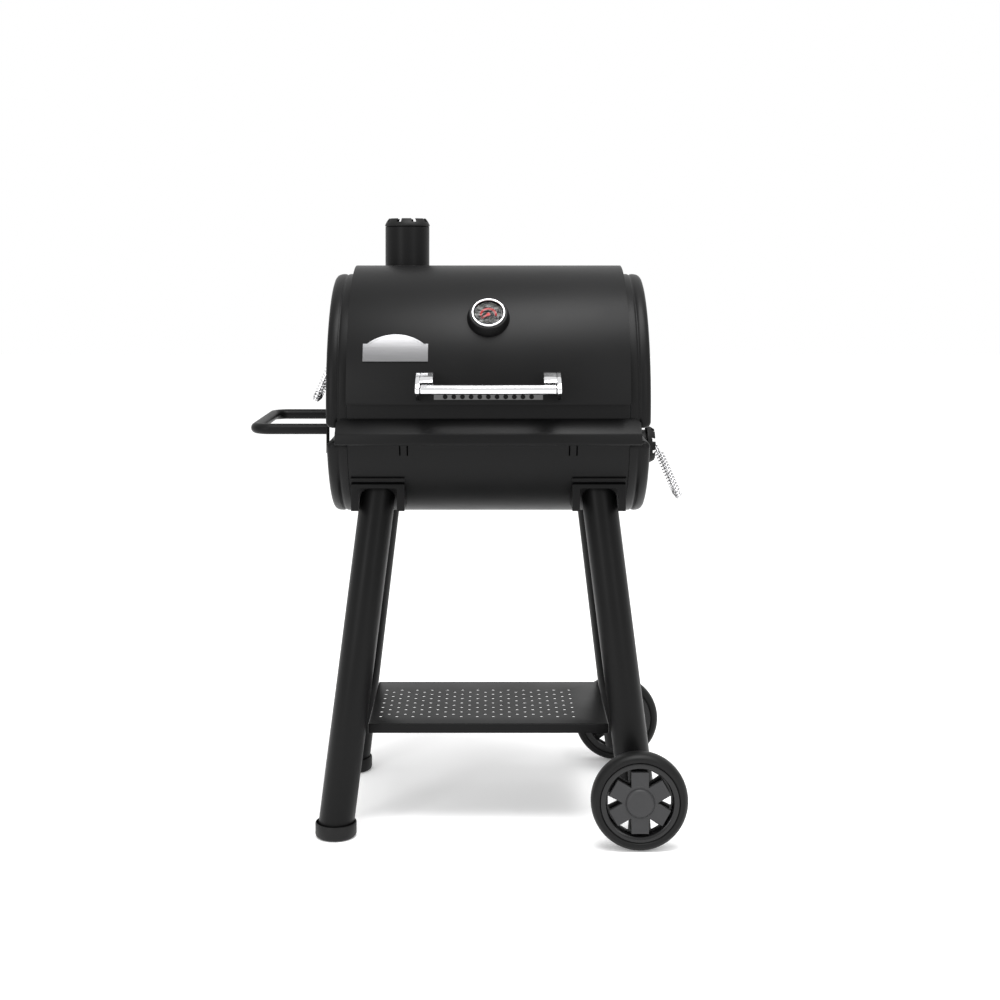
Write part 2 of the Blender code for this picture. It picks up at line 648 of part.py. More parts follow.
def make_hinges():
    for side in ("left", "right"):
        x = sign_of(side) * HINGE_X
        bore_start, bore_end = (x - 0.05, HINGE_Y, HINGE_Z), (x + 0.05, HINGE_Y, HINGE_Z)
        bore = rod(f"hinge_bore_{side}", PIN_RADIUS + PIN_CLEARANCE, bore_start, bore_end)
        body_leaf = leaf(f"body_hinge_{side}", 0.7080, 0.7560, SHELL_RADIUS, x, 0.034)
        lid_leaf = leaf(f"lid_hinge_{side}", 0.7720, 0.8060, SHELL_RADIUS, x, 0.034)
        middle = box(f"knuckle_gap_{side}", (x - 0.0133, 0.232, HINGE_Z - 0.012), (x + 0.0133, 0.262, HINGE_Z + 0.02))
        outer = rod(
            f"outer_knuckle_{side}", KNUCKLE_RADIUS, (x - 0.034, HINGE_Y, HINGE_Z), (x + 0.034, HINGE_Y, HINGE_Z), None, 12
        )
        inner = rod(
            f"inner_knuckle_{side}", KNUCKLE_RADIUS, (x - 0.0130, HINGE_Y, HINGE_Z), (x + 0.0130, HINGE_Y, HINGE_Z), None, 12
        )
        web = [(0.2247, 0.7440), (HINGE_Y + 0.004, HINGE_Z - 0.004), (HINGE_Y - 0.004, HINGE_Z + 0.003), (0.2278, 0.7550)]
        low_web = prism(f"low_web_{side}", web, x - 0.034, x + 0.034)
        web = [(HINGE_Y - 0.004, HINGE_Z - 0.003), (HINGE_Y + 0.005, HINGE_Z + 0.002), (0.2338, 0.7860), (0.2320, 0.7745)]
        high_web = prism(f"high_web_{side}", web, x - 0.0130, x + 0.0130)
        join(body_leaf, low_web, outer)
        cut(body_leaf, middle, bore)
        join(lid_leaf, high_web, inner)
        cut(lid_leaf, bore)
        rod(
            f"hinge_pin_{side}", PIN_RADIUS, (x - 0.0370, HINGE_Y, HINGE_Z), (x + 0.0370, HINGE_Y, HINGE_Z), BRUSHED, 12
        )


def leaf(name, low_z, high_z, radius, x, half):
    """A hinge leaf bent to lie on the back of the barrel between two heights."""
    count = 6
    inside, outside = [], []
    for i in range(count + 1):
        z = low_z + (high_z - low_z) * i / count
        angle = math.asin((z - BARREL_Z) / radius)
        for points, gap in ((inside, GAP), (outside, 0.0034)):
            reach = radius + gap
            points.append((reach * math.cos(angle), BARREL_Z + reach * math.sin(angle)))
    return prism(name, inside + outside[::-1], x - half, x + half, COATED)


# ---------------------------------------------------------------- side door, dampers and coil handles

DOOR_HINGE = Vector((0.2852, 0.0940, 0.0))


def make_side_door():
    door = box("side_door", (0.2793, -0.088, 0.6325), (0.2813, 0.0895, 0.7345), COATED)
    boss = rod("door_boss", 0.029, (0.2800, 0, DAMPER_Z - 0.003), (0.3135, 0, DAMPER_Z - 0.003), sides=28)
    x, y, _ = DOOR_HINGE
    low, high = 0.668, 0.698
    knuckle = rod("door_knuckle", 0.005, (x, y, low), (x, y, high), sides=16)
    tongue = box("door_tongue", (0.2793, 0.080, low), (0.2830, 0.0935, high))
    bore = rod("door_bore", 0.0029, (x, y, 0.60), (x, y, 0.76), sides=14)
    join(door, boss, tongue, knuckle)
    vent = rod("door_vent", 0.019, (0.27, 0, DAMPER_Z - 0.003), (0.32, 0, DAMPER_Z - 0.003), sides=24)
    cut(door, vent, bore)
    origin_at(door, (x, y, (low + high) / 2))
    fixed = box("door_hinge_leaf", (0.2793, 0.0985, 0.650), (0.2813, 0.1180, 0.716), COATED)
    for i, (start, end) in enumerate(((0.650, low - 0.0005), (high + 0.0005, 0.716))):
        tongue = box(f"leaf_tongue_{i}", (0.2793, 0.0945, start), (0.2830, 0.1000, end))
        join(fixed, tongue, rod(f"leaf_knuckle_{i}", 0.005, (x, y, start), (x, y, end), sides=16))
    cut(fixed, bore)
    rod("door_hinge_pin", 0.0026, (x, y, 0.648), (x, y, 0.718), BRUSHED, 12)
    place = (0.3139, 0, DAMPER_Z)
    make_crown("door_damper", place, TURN_X, DAMPER_RADIUS, 0.0160, 0.0070)
    make_coil_handle("door_handle", 1, place[0] + 0.0160, DAMPER_Z)


def make_lid_damper():
    place = (-0.2796, 0, LID_DAMPER_Z)
    make_crown("lid_damper", place, (0, -math.pi / 2, 0), DAMPER_RADIUS, 0.0150, 0.0070)
    make_coil_handle("lid_damper_handle", -1, place[0] - 0.0150, LID_DAMPER_Z)


def make_coil_handle(name, out, face_x, z):
    """A U-shaped grip wound with wire, hung from a thin bar across the middle of a damper."""
    pivot = Vector((face_x + out * 0.0030, 0, z))
    lean = math.radians(BAIL_LEAN)
    down = Vector((out * math.sin(lean), 0, -math.cos(lean)))
    near, far = pivot - Vector((0, BAIL_HALF, 0)), pivot + Vector((0, BAIL_HALF, 0))
    start, drop = down * 0.014, down * BAIL_DROP
    bail = tube(name, [near + start, near + drop, far + drop, far + start], BAIL_RADIUS, CHROME, 2, corner=0.020)
    for i, top in enumerate((near, far)):
        join(bail, rod(f"{name}_wire_{i}", BAIL_WIRE, top - down * 0.002, top + down * 0.020, sides=10))
    join(bail, rod(f"{name}_bar", BAIL_WIRE, near, far, sides=10))
    return origin_at(bail, pivot)


# ---------------------------------------------------------------- grids, grate, pan, rack, side handle

def bars(name, low, high, bar, count, finish, along="Y", cross=2):
    """A cast grid: a frame with parallel bars, cut from one plate."""
    plate = box(name, low, high, finish)
    span = high[0] - low[0] - 2 * bar if along == "Y" else high[1] - low[1] - 2 * bar
    depth = high[1] - low[1] - 2 * bar if along == "Y" else high[0] - low[0] - 2 * bar
    gap = (span - (count - 1) * bar) / count
    length = (depth - (cross - 1) * bar) / cross
    for i in range(count):
        for j in range(cross):
            a = bar + i * (gap + bar)
            b = bar + j * (length + bar)
            if along == "Y":
                start = (low[0] + a, low[1] + b, low[2] - 0.01)
                end = (low[0] + a + gap, low[1] + b + length, high[2] + 0.01)
            else:
                start = (low[0] + b, low[1] + a, low[2] - 0.01)
                end = (low[0] + b + length, low[1] + a + gap, high[2] + 0.01)
            cut(plate, box(f"{name}_gap_{i}_{j}", start, end))
    return plate


def make_inside():
    bars("cooking_grid_left", (-0.2605, -0.2135, GRID_Z), (-0.0025, 0.2135, GRID_Z + 0.010), 0.0085, 11, CAST)
    bars("cooking_grid_right", (0.0025, -0.2135, GRID_Z), (0.2605, 0.2135, GRID_Z + 0.010), 0.0085, 11, CAST)
    bars("charcoal_grate", (-0.240, -0.1512, GRATE_Z), (0.240, 0.1512, GRATE_Z + 0.008), 0.010, 14, CAST, cross=1)
    pan = box("ash_pan", (-0.235, -0.076, PAN_Z), (0.235, 0.076, PAN_Z + 0.024), BRUSHED)
    wall = 0.0016
    low = (-0.235 + wall, -0.076 + wall, PAN_Z + wall)
    cut(pan, box("pan_inside", low, (0.235 - wall, 0.076 - wall, PAN_Z + 0.1)))
    make_warming_rack()


def make_warming_rack():
    z, wire, half = 0.880, 0.0025, 0.250
    rack = tube("warming_rack", [(-half, 0.2165, z), (-half, 0.0, z), (half, 0.0, z), (half, 0.2165, z)], wire, CHROME, 1)
    for i in range(6):
        y = 0.025 + i * 0.025
        combine(rack, rod(f"rack_wire_{i}", 0.0018, (-half, y, z), (half, y, z), None, 8), "UNION")


def make_side_handle():
    y, z, x = SIDE_HANDLE_Y, SIDE_HANDLE_Z, SIDE_HANDLE_X
    route = [(-0.3045, -y, z), (x, -y, z), (x, y, z), (-0.3045, y, z)]
    bar = tube("side_handle", route, SIDE_HANDLE_RADIUS, COATED, 4, corner=0.030)
    fold = [(-0.3062, 0.768), (-0.3062, 0.711), (-0.2832, 0.711), (-0.2832, 0.690), (-0.2800, 0.690)]
    fold += [(-0.2800, 0.7142), (-0.3030, 0.7142), (-0.3030, 0.768)]
    for facing in ("front", "rear"):
        middle = sign_of(facing) * y
        join(bar, prism(f"handle_plate_{facing}", fold, middle - 0.016, middle + 0.016, axis="Y"))


make_body()
make_legs()
make_shelf()
make_wheels()
make_lid()
make_thermometer()
make_name_plate()
make_lid_handle()
make_chimney()
make_hinges()
make_side_door()
make_lid_damper()
make_inside()
make_side_handle()
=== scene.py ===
import json
import math

import bmesh
import bpy
from mathutils import Matrix, Vector


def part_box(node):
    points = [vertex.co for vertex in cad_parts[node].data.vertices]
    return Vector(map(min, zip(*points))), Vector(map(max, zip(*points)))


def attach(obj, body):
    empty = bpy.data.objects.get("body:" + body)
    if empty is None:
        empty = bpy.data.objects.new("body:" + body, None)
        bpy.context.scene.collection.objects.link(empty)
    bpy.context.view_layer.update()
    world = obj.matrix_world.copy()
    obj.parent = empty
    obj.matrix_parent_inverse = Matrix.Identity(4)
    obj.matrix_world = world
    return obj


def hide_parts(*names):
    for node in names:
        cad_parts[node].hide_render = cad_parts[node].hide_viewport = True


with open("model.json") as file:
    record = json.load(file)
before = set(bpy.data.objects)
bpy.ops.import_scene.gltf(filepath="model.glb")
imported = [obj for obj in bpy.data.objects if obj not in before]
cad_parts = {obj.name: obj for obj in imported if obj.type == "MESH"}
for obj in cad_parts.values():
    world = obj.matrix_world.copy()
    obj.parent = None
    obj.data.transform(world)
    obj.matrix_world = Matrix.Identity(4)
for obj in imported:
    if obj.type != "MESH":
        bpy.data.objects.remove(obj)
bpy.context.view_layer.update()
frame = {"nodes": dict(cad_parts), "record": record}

# ---- Floor, light and camera ----
# The grill stands on a plain white studio floor under broad soft lights, one overhead and one at
# each side, and is seen from in front at chest height.

shell_low, shell_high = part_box("body_shell")
BARREL = 0.2336
axis = Vector(((shell_low.x + shell_high.x) / 2, (shell_low.y + shell_high.y) / 2, shell_low.z + BARREL))

bpy.ops.mesh.primitive_plane_add(size=30, location=(0, 0, 0))
floor = bpy.context.object
floor.name = "studio_floor"
floor_finish = bpy.data.materials.new("studio_white")
floor_finish.use_nodes = True
floor_shader = floor_finish.node_tree.nodes["Principled BSDF"]
floor_shader.inputs["Base Color"].default_value = (0.96, 0.96, 0.96, 1)
floor_shader.inputs["Emission Color"].default_value = (1, 1, 1, 1)
floor_shader.inputs["Emission Strength"].default_value = 0.14
floor_shader.inputs["Roughness"].default_value = 0.9
floor_shader.inputs["Specular IOR Level"].default_value = 0.1
floor.data.materials.append(floor_finish)

sky = bpy.data.worlds.new("studio")
sky.use_nodes = True
sky.node_tree.nodes["Background"].inputs["Color"].default_value = (1, 1, 1, 1)
sky.node_tree.nodes["Background"].inputs["Strength"].default_value = 1.0
bpy.context.scene.world = sky
bpy.context.scene.view_settings.view_transform = "Standard"


def softbox(name, place, aim, width, height, power):
    bpy.ops.object.light_add(type="AREA", location=place)
    lamp = bpy.context.object
    lamp.name = name
    lamp.rotation_euler = (Vector(aim) - Vector(place)).to_track_quat("-Z", "Y").to_euler()
    lamp.data.shape = "RECTANGLE"
    lamp.data.size = width
    lamp.data.size_y = height
    lamp.data.energy = power


softbox("overhead_light", (0.35, -0.83, 3.0), (0, -0.1, 0.8), 2.2, 1.3, 98)
softbox("left_light", (-1.9, -2.7, 1.3), (0, 0, 0.7), 0.5, 1.9, 24)
softbox("right_light", (1.9, -2.7, 1.4), (0, 0, 0.7), 0.4, 1.9, 13)

bpy.ops.object.camera_add(location=(axis.x, axis.y - 3.1, 1.068), rotation=(math.radians(90), 0, 0))
camera = bpy.context.object
camera.data.sensor_width = 36
camera.data.lens = 56.0
camera.data.shift_x = 0.0116
camera.data.shift_y = -0.236
bpy.context.scene.camera = camera

# ---- Lid ----
# The lid is a rolled inner shell with a second skin over it, hemmed in at both ends, in sheet
# steel powder-coated satin black.


def start():
    """Leaves nothing selected, so that the next operator meets only what it adds."""
    if bpy.context.object and bpy.context.object.mode == "EDIT":
        bpy.ops.object.mode_set(mode="OBJECT")
    bpy.ops.object.select_all(action="DESELECT")


def settle():
    """Puts the place, turn and size of what is selected into its mesh."""
    bpy.ops.object.transform_apply(location=True, rotation=True, scale=True)


def edit():
    bpy.ops.object.mode_set(mode="EDIT")
    bpy.ops.mesh.select_mode(type="VERT")


def done_editing():
    bpy.ops.object.mode_set(mode="OBJECT")


def pick(test, mode="FACE"):
    """Selects the faces, edges or corners of the piece in hand whose middle passes the test."""
    bpy.ops.mesh.select_mode(type=mode)
    bpy.ops.mesh.select_all(action="DESELECT")
    mesh = bmesh.from_edit_mesh(bpy.context.object.data)
    group = {"FACE": mesh.faces, "EDGE": mesh.edges, "VERT": mesh.verts}[mode]
    for item in group:
        if mode == "FACE":
            middle = item.calc_center_median()
        elif mode == "EDGE":
            middle = (item.verts[0].co + item.verts[1].co) / 2
        else:
            middle = item.co
        if test(middle, item):
            item.select_set(True)
    bmesh.update_edit_mesh(bpy.context.object.data)


def face_outward(merge=None):
    """Merges the corners that lie this close, if any, and turns every face of the mesh in hand outwards."""
    bpy.ops.mesh.select_all(action="SELECT")
    if merge:
        bpy.ops.mesh.remove_doubles(threshold=merge)
    bpy.ops.mesh.normals_make_consistent(inside=False)


def apply_all(piece):
    """Applies every modifier and the place, so that the piece's shape is all in its mesh."""
    bpy.context.view_layer.objects.active = piece
    for modifier in list(piece.modifiers):
        bpy.ops.object.modifier_apply(modifier=modifier.name)
    piece.select_set(True)
    settle()


def round_edges(piece, width, segments=2, angle=35):
    edge = piece.modifiers.new("edges", "BEVEL")
    edge.width = width
    edge.segments = segments
    edge.limit_method = "ANGLE"
    edge.angle_limit = math.radians(angle)
    edge.harden_normals = False


def wall(piece, thickness, offset=-1):
    sheet = piece.modifiers.new("sheet", "SOLIDIFY")
    sheet.thickness = thickness
    sheet.offset = offset
    sheet.use_even_offset = True


def finish(piece, name, material, body, *nodes, angle=35):
    """Applies what is left, smooths the piece, and lets it stand for its CAD nodes on their body."""
    apply_all(piece)
    piece.name = name
    piece.data.name = name
    bpy.ops.object.shade_smooth_by_angle(angle=math.radians(angle))
    piece.data.materials.clear()
    piece.data.materials.append(material)
    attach(piece, body)
    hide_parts(*nodes)
    start()
    return piece


def grain_group():
    """Fine bumps and a slow drift of tone, for powder coat, castings and moulded plastic."""
    group = bpy.data.node_groups.new("surface_grain", "ShaderNodeTree")
    face = group.interface
    face.new_socket("Vector", in_out="INPUT", socket_type="NodeSocketVector")
    for label, value in (("Fine", 900.0), ("Broad", 9.0), ("Depth", 0.1), ("Low", 0.3), ("High", 0.4)):
        face.new_socket(label, in_out="INPUT", socket_type="NodeSocketFloat").default_value = value
    for label in ("Dark", "Light"):
        face.new_socket(label, in_out="INPUT", socket_type="NodeSocketColor")
    face.new_socket("Color", in_out="OUTPUT", socket_type="NodeSocketColor")
    face.new_socket("Roughness", in_out="OUTPUT", socket_type="NodeSocketFloat")
    face.new_socket("Normal", in_out="OUTPUT", socket_type="NodeSocketVector")
    nodes, link = group.nodes, group.links.new
    given, out = nodes.new("NodeGroupInput"), nodes.new("NodeGroupOutput")
    fine, broad = nodes.new("ShaderNodeTexNoise"), nodes.new("ShaderNodeTexNoise")
    bump, tone, gloss = nodes.new("ShaderNodeBump"), nodes.new("ShaderNodeMix"), nodes.new(
        "ShaderNodeMapRange"
    )
    tone.data_type = "RGBA"
    fine.inputs["Detail"].default_value = 2
    broad.inputs["Detail"].default_value = 4
    bump.inputs["Distance"].default_value = 0.0002
    link(given.outputs["Vector"], fine.inputs["Vector"])
    link(given.outputs["Vector"], broad.inputs["Vector"])
    link(given.outputs["Fine"], fine.inputs["Scale"])
    link(given.outputs["Broad"], broad.inputs["Scale"])
    link(fine.outputs["Fac"], bump.inputs["Height"])
    link(given.outputs["Depth"], bump.inputs["Strength"])
    link(broad.outputs["Fac"], tone.inputs["Factor"])
    link(given.outputs["Dark"], tone.inputs["A"])
    link(given.outputs["Light"], tone.inputs["B"])
    link(broad.outputs["Fac"], gloss.inputs["Value"])
    gloss.inputs["From Min"].default_value = 0.3
    gloss.inputs["From Max"].default_value = 0.7
    link(given.outputs["Low"], gloss.inputs["To Min"])
    link(given.outputs["High"], gloss.inputs["To Max"])
    link(tone.outputs["Result"], out.inputs["Color"])
    link(gloss.outputs["Result"], out.inputs["Roughness"])
    link(bump.outputs["Normal"], out.inputs["Normal"])
    return group


GRAIN = grain_group()


def grained(name, dark, light, rough, metallic=0.0, fine=900.0, broad=9.0, depth=0.1, specular=0.5):
    material = bpy.data.materials.new(name)
    material.use_nodes = True
    nodes, link = material.node_tree.nodes, material.node_tree.links.new
    shader = nodes["Principled BSDF"]
    grain, place = nodes.new("ShaderNodeGroup"), nodes.new("ShaderNodeTexCoord")
    grain.node_tree = GRAIN
    grain.inputs["Fine"].default_value = fine
    grain.inputs["Broad"].default_value = broad
    grain.inputs["Depth"].default_value = depth
    grain.inputs["Low"].default_value, grain.inputs["High"].default_value = rough
    grain.inputs["Dark"].default_value = (*dark, 1)
    grain.inputs["Light"].default_value = (*light, 1)
    link(place.outputs["Object"], grain.inputs["Vector"])
    link(grain.outputs["Color"], shader.inputs["Base Color"])
    link(grain.outputs["Roughness"], shader.inputs["Roughness"])
    link(grain.outputs["Normal"], shader.inputs["Normal"])
    shader.inputs["Metallic"].default_value = metallic
    shader.inputs["Specular IOR Level"].default_value = specular
    return material


powder_coat = grained(
    "satin_powder_coat", (0.0034, 0.0034, 0.0035), (0.0050, 0.0050, 0.0051), (0.38, 0.44), depth=0.12,
    specular=0.11
)


def rolled(radius, half, edge_z, over_top, sides=144):
    """An open cylinder along the barrel, with all below or above one height cut away."""
    start()
    bpy.ops.mesh.primitive_cylinder_add(
        vertices=sides, radius=radius, depth=2 * half, end_fill_type="NOTHING", location=axis,
        rotation=(0, math.pi / 2, 0)
    )
    piece = bpy.context.object
    settle()
    edit()
    bpy.ops.mesh.select_all(action="SELECT")
    bpy.ops.mesh.bisect(
        plane_co=(0, 0, edge_z), plane_no=(0, 0, 1), clear_inner=over_top, clear_outer=not over_top
    )
    done_editing()
    return piece


def combined(piece, other, operation):
    """Cuts, joins or crosses one piece with another, and clears the other away."""
    change = piece.modifiers.new("change", "BOOLEAN")
    change.operation = operation
    change.solver = "EXACT"
    change.object = other
    bpy.context.view_layer.objects.active = piece
    bpy.ops.object.modifier_apply(modifier=change.name)
    bpy.data.objects.remove(other, do_unlink=True)


def bored(piece, cutter):
    combined(piece, cutter, "DIFFERENCE")


def drill(place, direction, radius, depth, sides=64):
    start()
    turn = Vector(direction).to_track_quat("Z", "Y").to_euler()
    bpy.ops.mesh.primitive_cylinder_add(
        vertices=sides, radius=radius, depth=depth, location=place, rotation=turn
    )
    return bpy.context.object


SKIN = 0.2507
ON_LID = SKIN + 0.0002
skin_low, skin_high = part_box("lid_outer_shell")
pipe_low, pipe_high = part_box("chimney_pipe")
flue_hole = 0.0455
flue = Vector(((pipe_low.x + pipe_high.x) / 2, (pipe_low.y + pipe_high.y) / 2, 1.05))
skin = rolled(SKIN, (skin_high.x - skin_low.x) / 2, skin_low.z, True)
edit()
end_x = (skin_high.x - skin_low.x) / 2 - 0.0005
pick(lambda middle, edge: abs(middle.x - axis.x) > end_x and len(edge.link_faces) == 1, "EDGE")
bpy.ops.mesh.extrude_region_move()
shrink = (BARREL + 0.0012) / SKIN
bpy.ops.transform.resize(value=(1, shrink, shrink), center_override=axis)
done_editing()
wall(skin, 0.002)
apply_all(skin)
bored(skin, drill(flue, (0, 0, 1), flue_hole, 0.3))
round_edges(skin, 0.0007)
finish(skin, "lid_skin", powder_coat, "lid", "lid_outer_shell")

inner_low, inner_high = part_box("lid_inner_shell")
inner = rolled(BARREL, (inner_high.x - inner_low.x) / 2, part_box("lid_end_left")[0].z, True)
wall(inner, 0.002)
apply_all(inner)
bored(inner, drill(flue, (0, 0, 1), flue_hole, 0.3))
round_edges(inner, 0.0005)
finish(inner, "lid_inner_skin", powder_coat, "lid", "lid_inner_shell")

# ---- Barrel ends ----
# Each end is two D-shaped stampings, one on the lid and one on the body: a short flange inside
# the barrel, a rounded bead that stands proud all round, and a flat face set back inside it.


def d_outline(side, distance, margin, chord_z, upper, corner):
    """Points round a D that is this margin inside the barrel, its corners rounded, at one distance out."""
    sign = 1 if upper else -1
    radius, bend = BARREL - margin, max(corner - margin, 0.0008)
    corner_z = sign * (chord_z - axis.z) + margin + bend
    corner_y = math.sqrt((radius - bend) ** 2 - corner_z ** 2)
    tangent = math.atan2(corner_z, corner_y)
    points = []
    for i in range(81):
        angle = tangent + (math.pi - 2 * tangent) * i / 80
        points.append((radius * math.cos(angle), radius * math.sin(angle)))
    for i in range(1, 9):
        angle = math.pi - tangent + (math.pi / 2 + tangent) * i / 9
        points.append((-corner_y + bend * math.cos(angle), corner_z + bend * math.sin(angle)))
    for i in range(1, 9):
        angle = -math.pi / 2 + (math.pi / 2 + tangent) * i / 9
        points.append((corner_y + bend * math.cos(angle), corner_z + bend * math.sin(angle)))
    return [axis + Vector((side * distance, y, sign * z)) for y, z in points]


def blank(places):
    """A round blank with its corners dragged to these places, all selected to be drawn out."""
    start()
    bpy.ops.mesh.primitive_circle_add(vertices=len(places), radius=1, fill_type="NGON", location=(0, 0, 0))
    piece = bpy.context.object
    for corner, place in zip(piece.data.vertices, places):
        corner.co = place
    edit()
    bpy.ops.mesh.select_all(action="SELECT")
    return piece


def stamped_end(name, side, chord_z, upper, corner, body, node, material):
    """A flat D drawn out in steps to the bead and back in to the face, as a press would."""
    shape = d_outline(side, 0.2625, 0, chord_z, upper, corner)
    piece = blank(shape)
    drawn = [
        (0, 0.2745), (0.0006, 0.2762), (0.0019, 0.2780), (0.0021, 0.2792), (0.0013, 0.2806), (0.0003, 0.2826),
        (0, 0.2850), (0.0002, 0.2890), (0.0012, 0.2935), (0.0032, 0.2972), (0.0062, 0.2996), (0.0100, 0.3008),
        (0.0145, 0.3010), (0.0182, 0.2998), (0.0212, 0.2966), (0.0232, 0.2920), (0.0243, 0.2860),
        (0.0252, 0.2808),
        (0.0266, 0.2790), (0.0300, 0.2787),
    ]
    for margin, distance in drawn:
        bpy.ops.mesh.extrude_region_move()
        mesh = bmesh.from_edit_mesh(piece.data)
        ring = [vert for face in mesh.faces if face.select for vert in face.verts]
        wanted = d_outline(side, distance, margin, chord_z, upper, corner)
        numbers = {tuple(round(c, 5) for c in place): i for i, place in enumerate(shape)}
        for vert in ring:
            vert.co = wanted[numbers[tuple(round(c, 5) for c in vert.co)]]
        shape = [Vector(place) for place in wanted]
        bmesh.update_edit_mesh(piece.data)
    face_outward()
    pick(lambda middle, face: abs(middle.x - axis.x) < 0.2627 and len(face.verts) > 20)
    bpy.ops.mesh.delete(type="ONLY_FACE")
    done_editing()
    wall(piece, 0.0016)
    return finish(piece, name, material, body, node, angle=50)


upper_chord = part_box("lid_end_left")[0].z
lower_chord = 0.7398
for side, word in ((-1, "left"), (1, "right")):
    stamped_end(f"upper_end_{word}", side, upper_chord, True, 0.011, "lid", f"lid_end_{word}", powder_coat)
stamped_end("lower_end_left", -1, lower_chord, False, 0.011, "cart", "body_end_left", powder_coat)

# ---- Lower right end and its charcoal door ----
# The right end has an oblong opening, covered by a pressed pan door on a pin hinge. A round boss
# on the door carries the air damper.


def cube(place, size, turn=(0, 0, 0)):
    """A plain block to start from, with its place and size in its mesh."""
    start()
    bpy.ops.mesh.primitive_cube_add(size=1, location=place, scale=size, rotation=turn)
    settle()
    return bpy.context.object


def joined(pieces):
    start()
    for piece in pieces:
        piece.select_set(True)
    bpy.context.view_layer.objects.active = pieces[0]
    bpy.ops.object.join()
    return bpy.context.object


hatch = stamped_end("lower_end_right", 1, lower_chord, False, 0.011, "cart", "body_end_right", powder_coat)
door_low, door_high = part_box("side_door")
pan_mid = Vector((0, axis.y, (door_low.z + door_high.z) / 2))
opening = cube((axis.x + 0.28, pan_mid.y, 0.684), (0.03, 0.16, 0.088))
round_edges(opening, 0.012, 5)
apply_all(opening)
start()
bored(hatch, opening)

start()
door_half = pan_mid.y - door_low.y
bpy.ops.mesh.primitive_plane_add(
    size=1, location=(door_low.x + 0.0006, pan_mid.y, pan_mid.z), rotation=(0, math.pi / 2, 0)
)
door = bpy.context.object
door.scale = (door_high.z - door_low.z, 2 * door_half, 1)
settle()
edit()
bpy.ops.mesh.select_all(action="SELECT")
bpy.ops.mesh.bevel(offset=0.012, segments=6, affect="VERTICES")
pick(lambda middle, face: True)
reached = door_low.x + 0.0006
# The steps in add up to less than the corner radius, so that the corners never close up.
for margin, distance in (
    (0.0050, 0.2806), (0.0012, 0.2870), (0.0012, 0.2950), (0.0020, 0.2985), (0.0018, 0.2995)
):
    bpy.ops.mesh.inset(thickness=margin, depth=0)
    bpy.ops.transform.translate(value=(axis.x + distance - reached, 0, 0))
    reached = axis.x + distance
done_editing()
wall(door, 0.0013)
apply_all(door)
damper_low, damper_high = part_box("door_damper")
hub = Vector((damper_low.x, axis.y, (damper_low.z + damper_high.z) / 2))
start()
bpy.ops.mesh.primitive_cylinder_add(
    vertices=64, radius=0.029, depth=0.0145, location=(hub.x - 0.0077, hub.y, hub.z),
    rotation=(0, math.pi / 2, 0)
)
boss = bpy.context.object
settle()
round_edges(boss, 0.0012)
apply_all(boss)
pin_low, pin_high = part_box("door_hinge_pin")
pin = (pin_low + pin_high) / 2
start()
hinge_z, hinge_length = 0.683, 0.030
bpy.ops.mesh.primitive_cylinder_add(
    vertices=32, radius=0.005, depth=hinge_length, location=(pin.x, pin.y, hinge_z)
)
knuckle = bpy.context.object
settle()
tongue = cube((pin.x - 0.0042, pin.y - 0.0062, hinge_z), (0.0024, 0.0080, hinge_length))
round_edges(tongue, 0.0004)
apply_all(tongue)
finish(joined([door, boss, knuckle, tongue]), "charcoal_door", powder_coat, "door", "side_door")

# ---- Body of the barrel ----
# The lower half of the barrel is one rolled sheet. Four tabs are lanced out of it and pressed
# inwards to carry the cooking grids, and each leaves a pair of short slits.

trough = rolled(BARREL, (shell_high.x - shell_low.x) / 2, 0.760, False)
wall(trough, 0.002)
apply_all(trough)
for end in (-1, 1):
    for edge in (-1, 1):
        slit_x = axis.x + end * 0.1575 + edge * 0.007
        bored(trough, cube((slit_x, axis.y, 0.7215), (0.0024, 0.6, 0.0195)))
round_edges(trough, 0.0004, 1)
finish(trough, "barrel_body", powder_coat, "cart", "body_shell")

# ---- Front ledge ----
# A narrow shelf folded from one strip of sheet runs along the front of the body under the lid's
# edge, with a rolled front fold and clipped upper corners.


def folded(points, low_x, high_x, bend):
    """A strip whose leading edge is drawn out from fold to fold. Each point is (y, z)."""
    start()
    bpy.ops.mesh.primitive_plane_add(size=2, location=(0, 0, 0))
    strip = bpy.context.object
    for corner in strip.data.vertices:
        y, z = points[0] if corner.co.y < 0 else points[1]
        corner.co = (low_x if corner.co.x < 0 else high_x, y, z)
    edit()
    last = Vector((0, *points[1]))
    pick(lambda middle, edge: abs(middle.y - last.y) + abs(middle.z - last.z) < 1e-5, "EDGE")
    for before, after in zip(points[1:], points[2:]):
        bpy.ops.mesh.extrude_region_move(
            TRANSFORM_OT_translate={"value": (0, after[0] - before[0], after[1] - before[1])}
        )
    done_editing()
    folds = strip.modifiers.new("folds", "BEVEL")
    folds.width = bend
    folds.segments = 4
    folds.limit_method = "ANGLE"
    folds.angle_limit = math.radians(20)
    return strip


ledge_low, ledge_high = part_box("front_ledge")
lip = [(-0.2328, 0.7818), (-0.2612, 0.7566), (-0.2622, 0.7380), (-0.2215, 0.7336)]
ledge = folded([(axis.y + y, z) for y, z in lip], ledge_low.x, ledge_high.x, 0.0035)
apply_all(ledge)
edit()
tip = ledge_low.x + 0.0001
pick(
    lambda middle,
    vert: abs(middle.z - 0.7818) < 0.001 and (middle.x < tip or middle.x > ledge_high.x - 0.0001), "VERT"
)
bpy.ops.mesh.bevel(offset=0.009, segments=1, affect="VERTICES")
done_editing()
wall(ledge, 0.0016, 0)
round_edges(ledge, 0.0004)
finish(ledge, "ledge", powder_coat, "cart", "front_ledge")

# ---- Lid handle ----
# A chromed tube across the front, let into two cast brackets that bolt to the lid, with a thin
# pierced heat shield between them behind the tube.


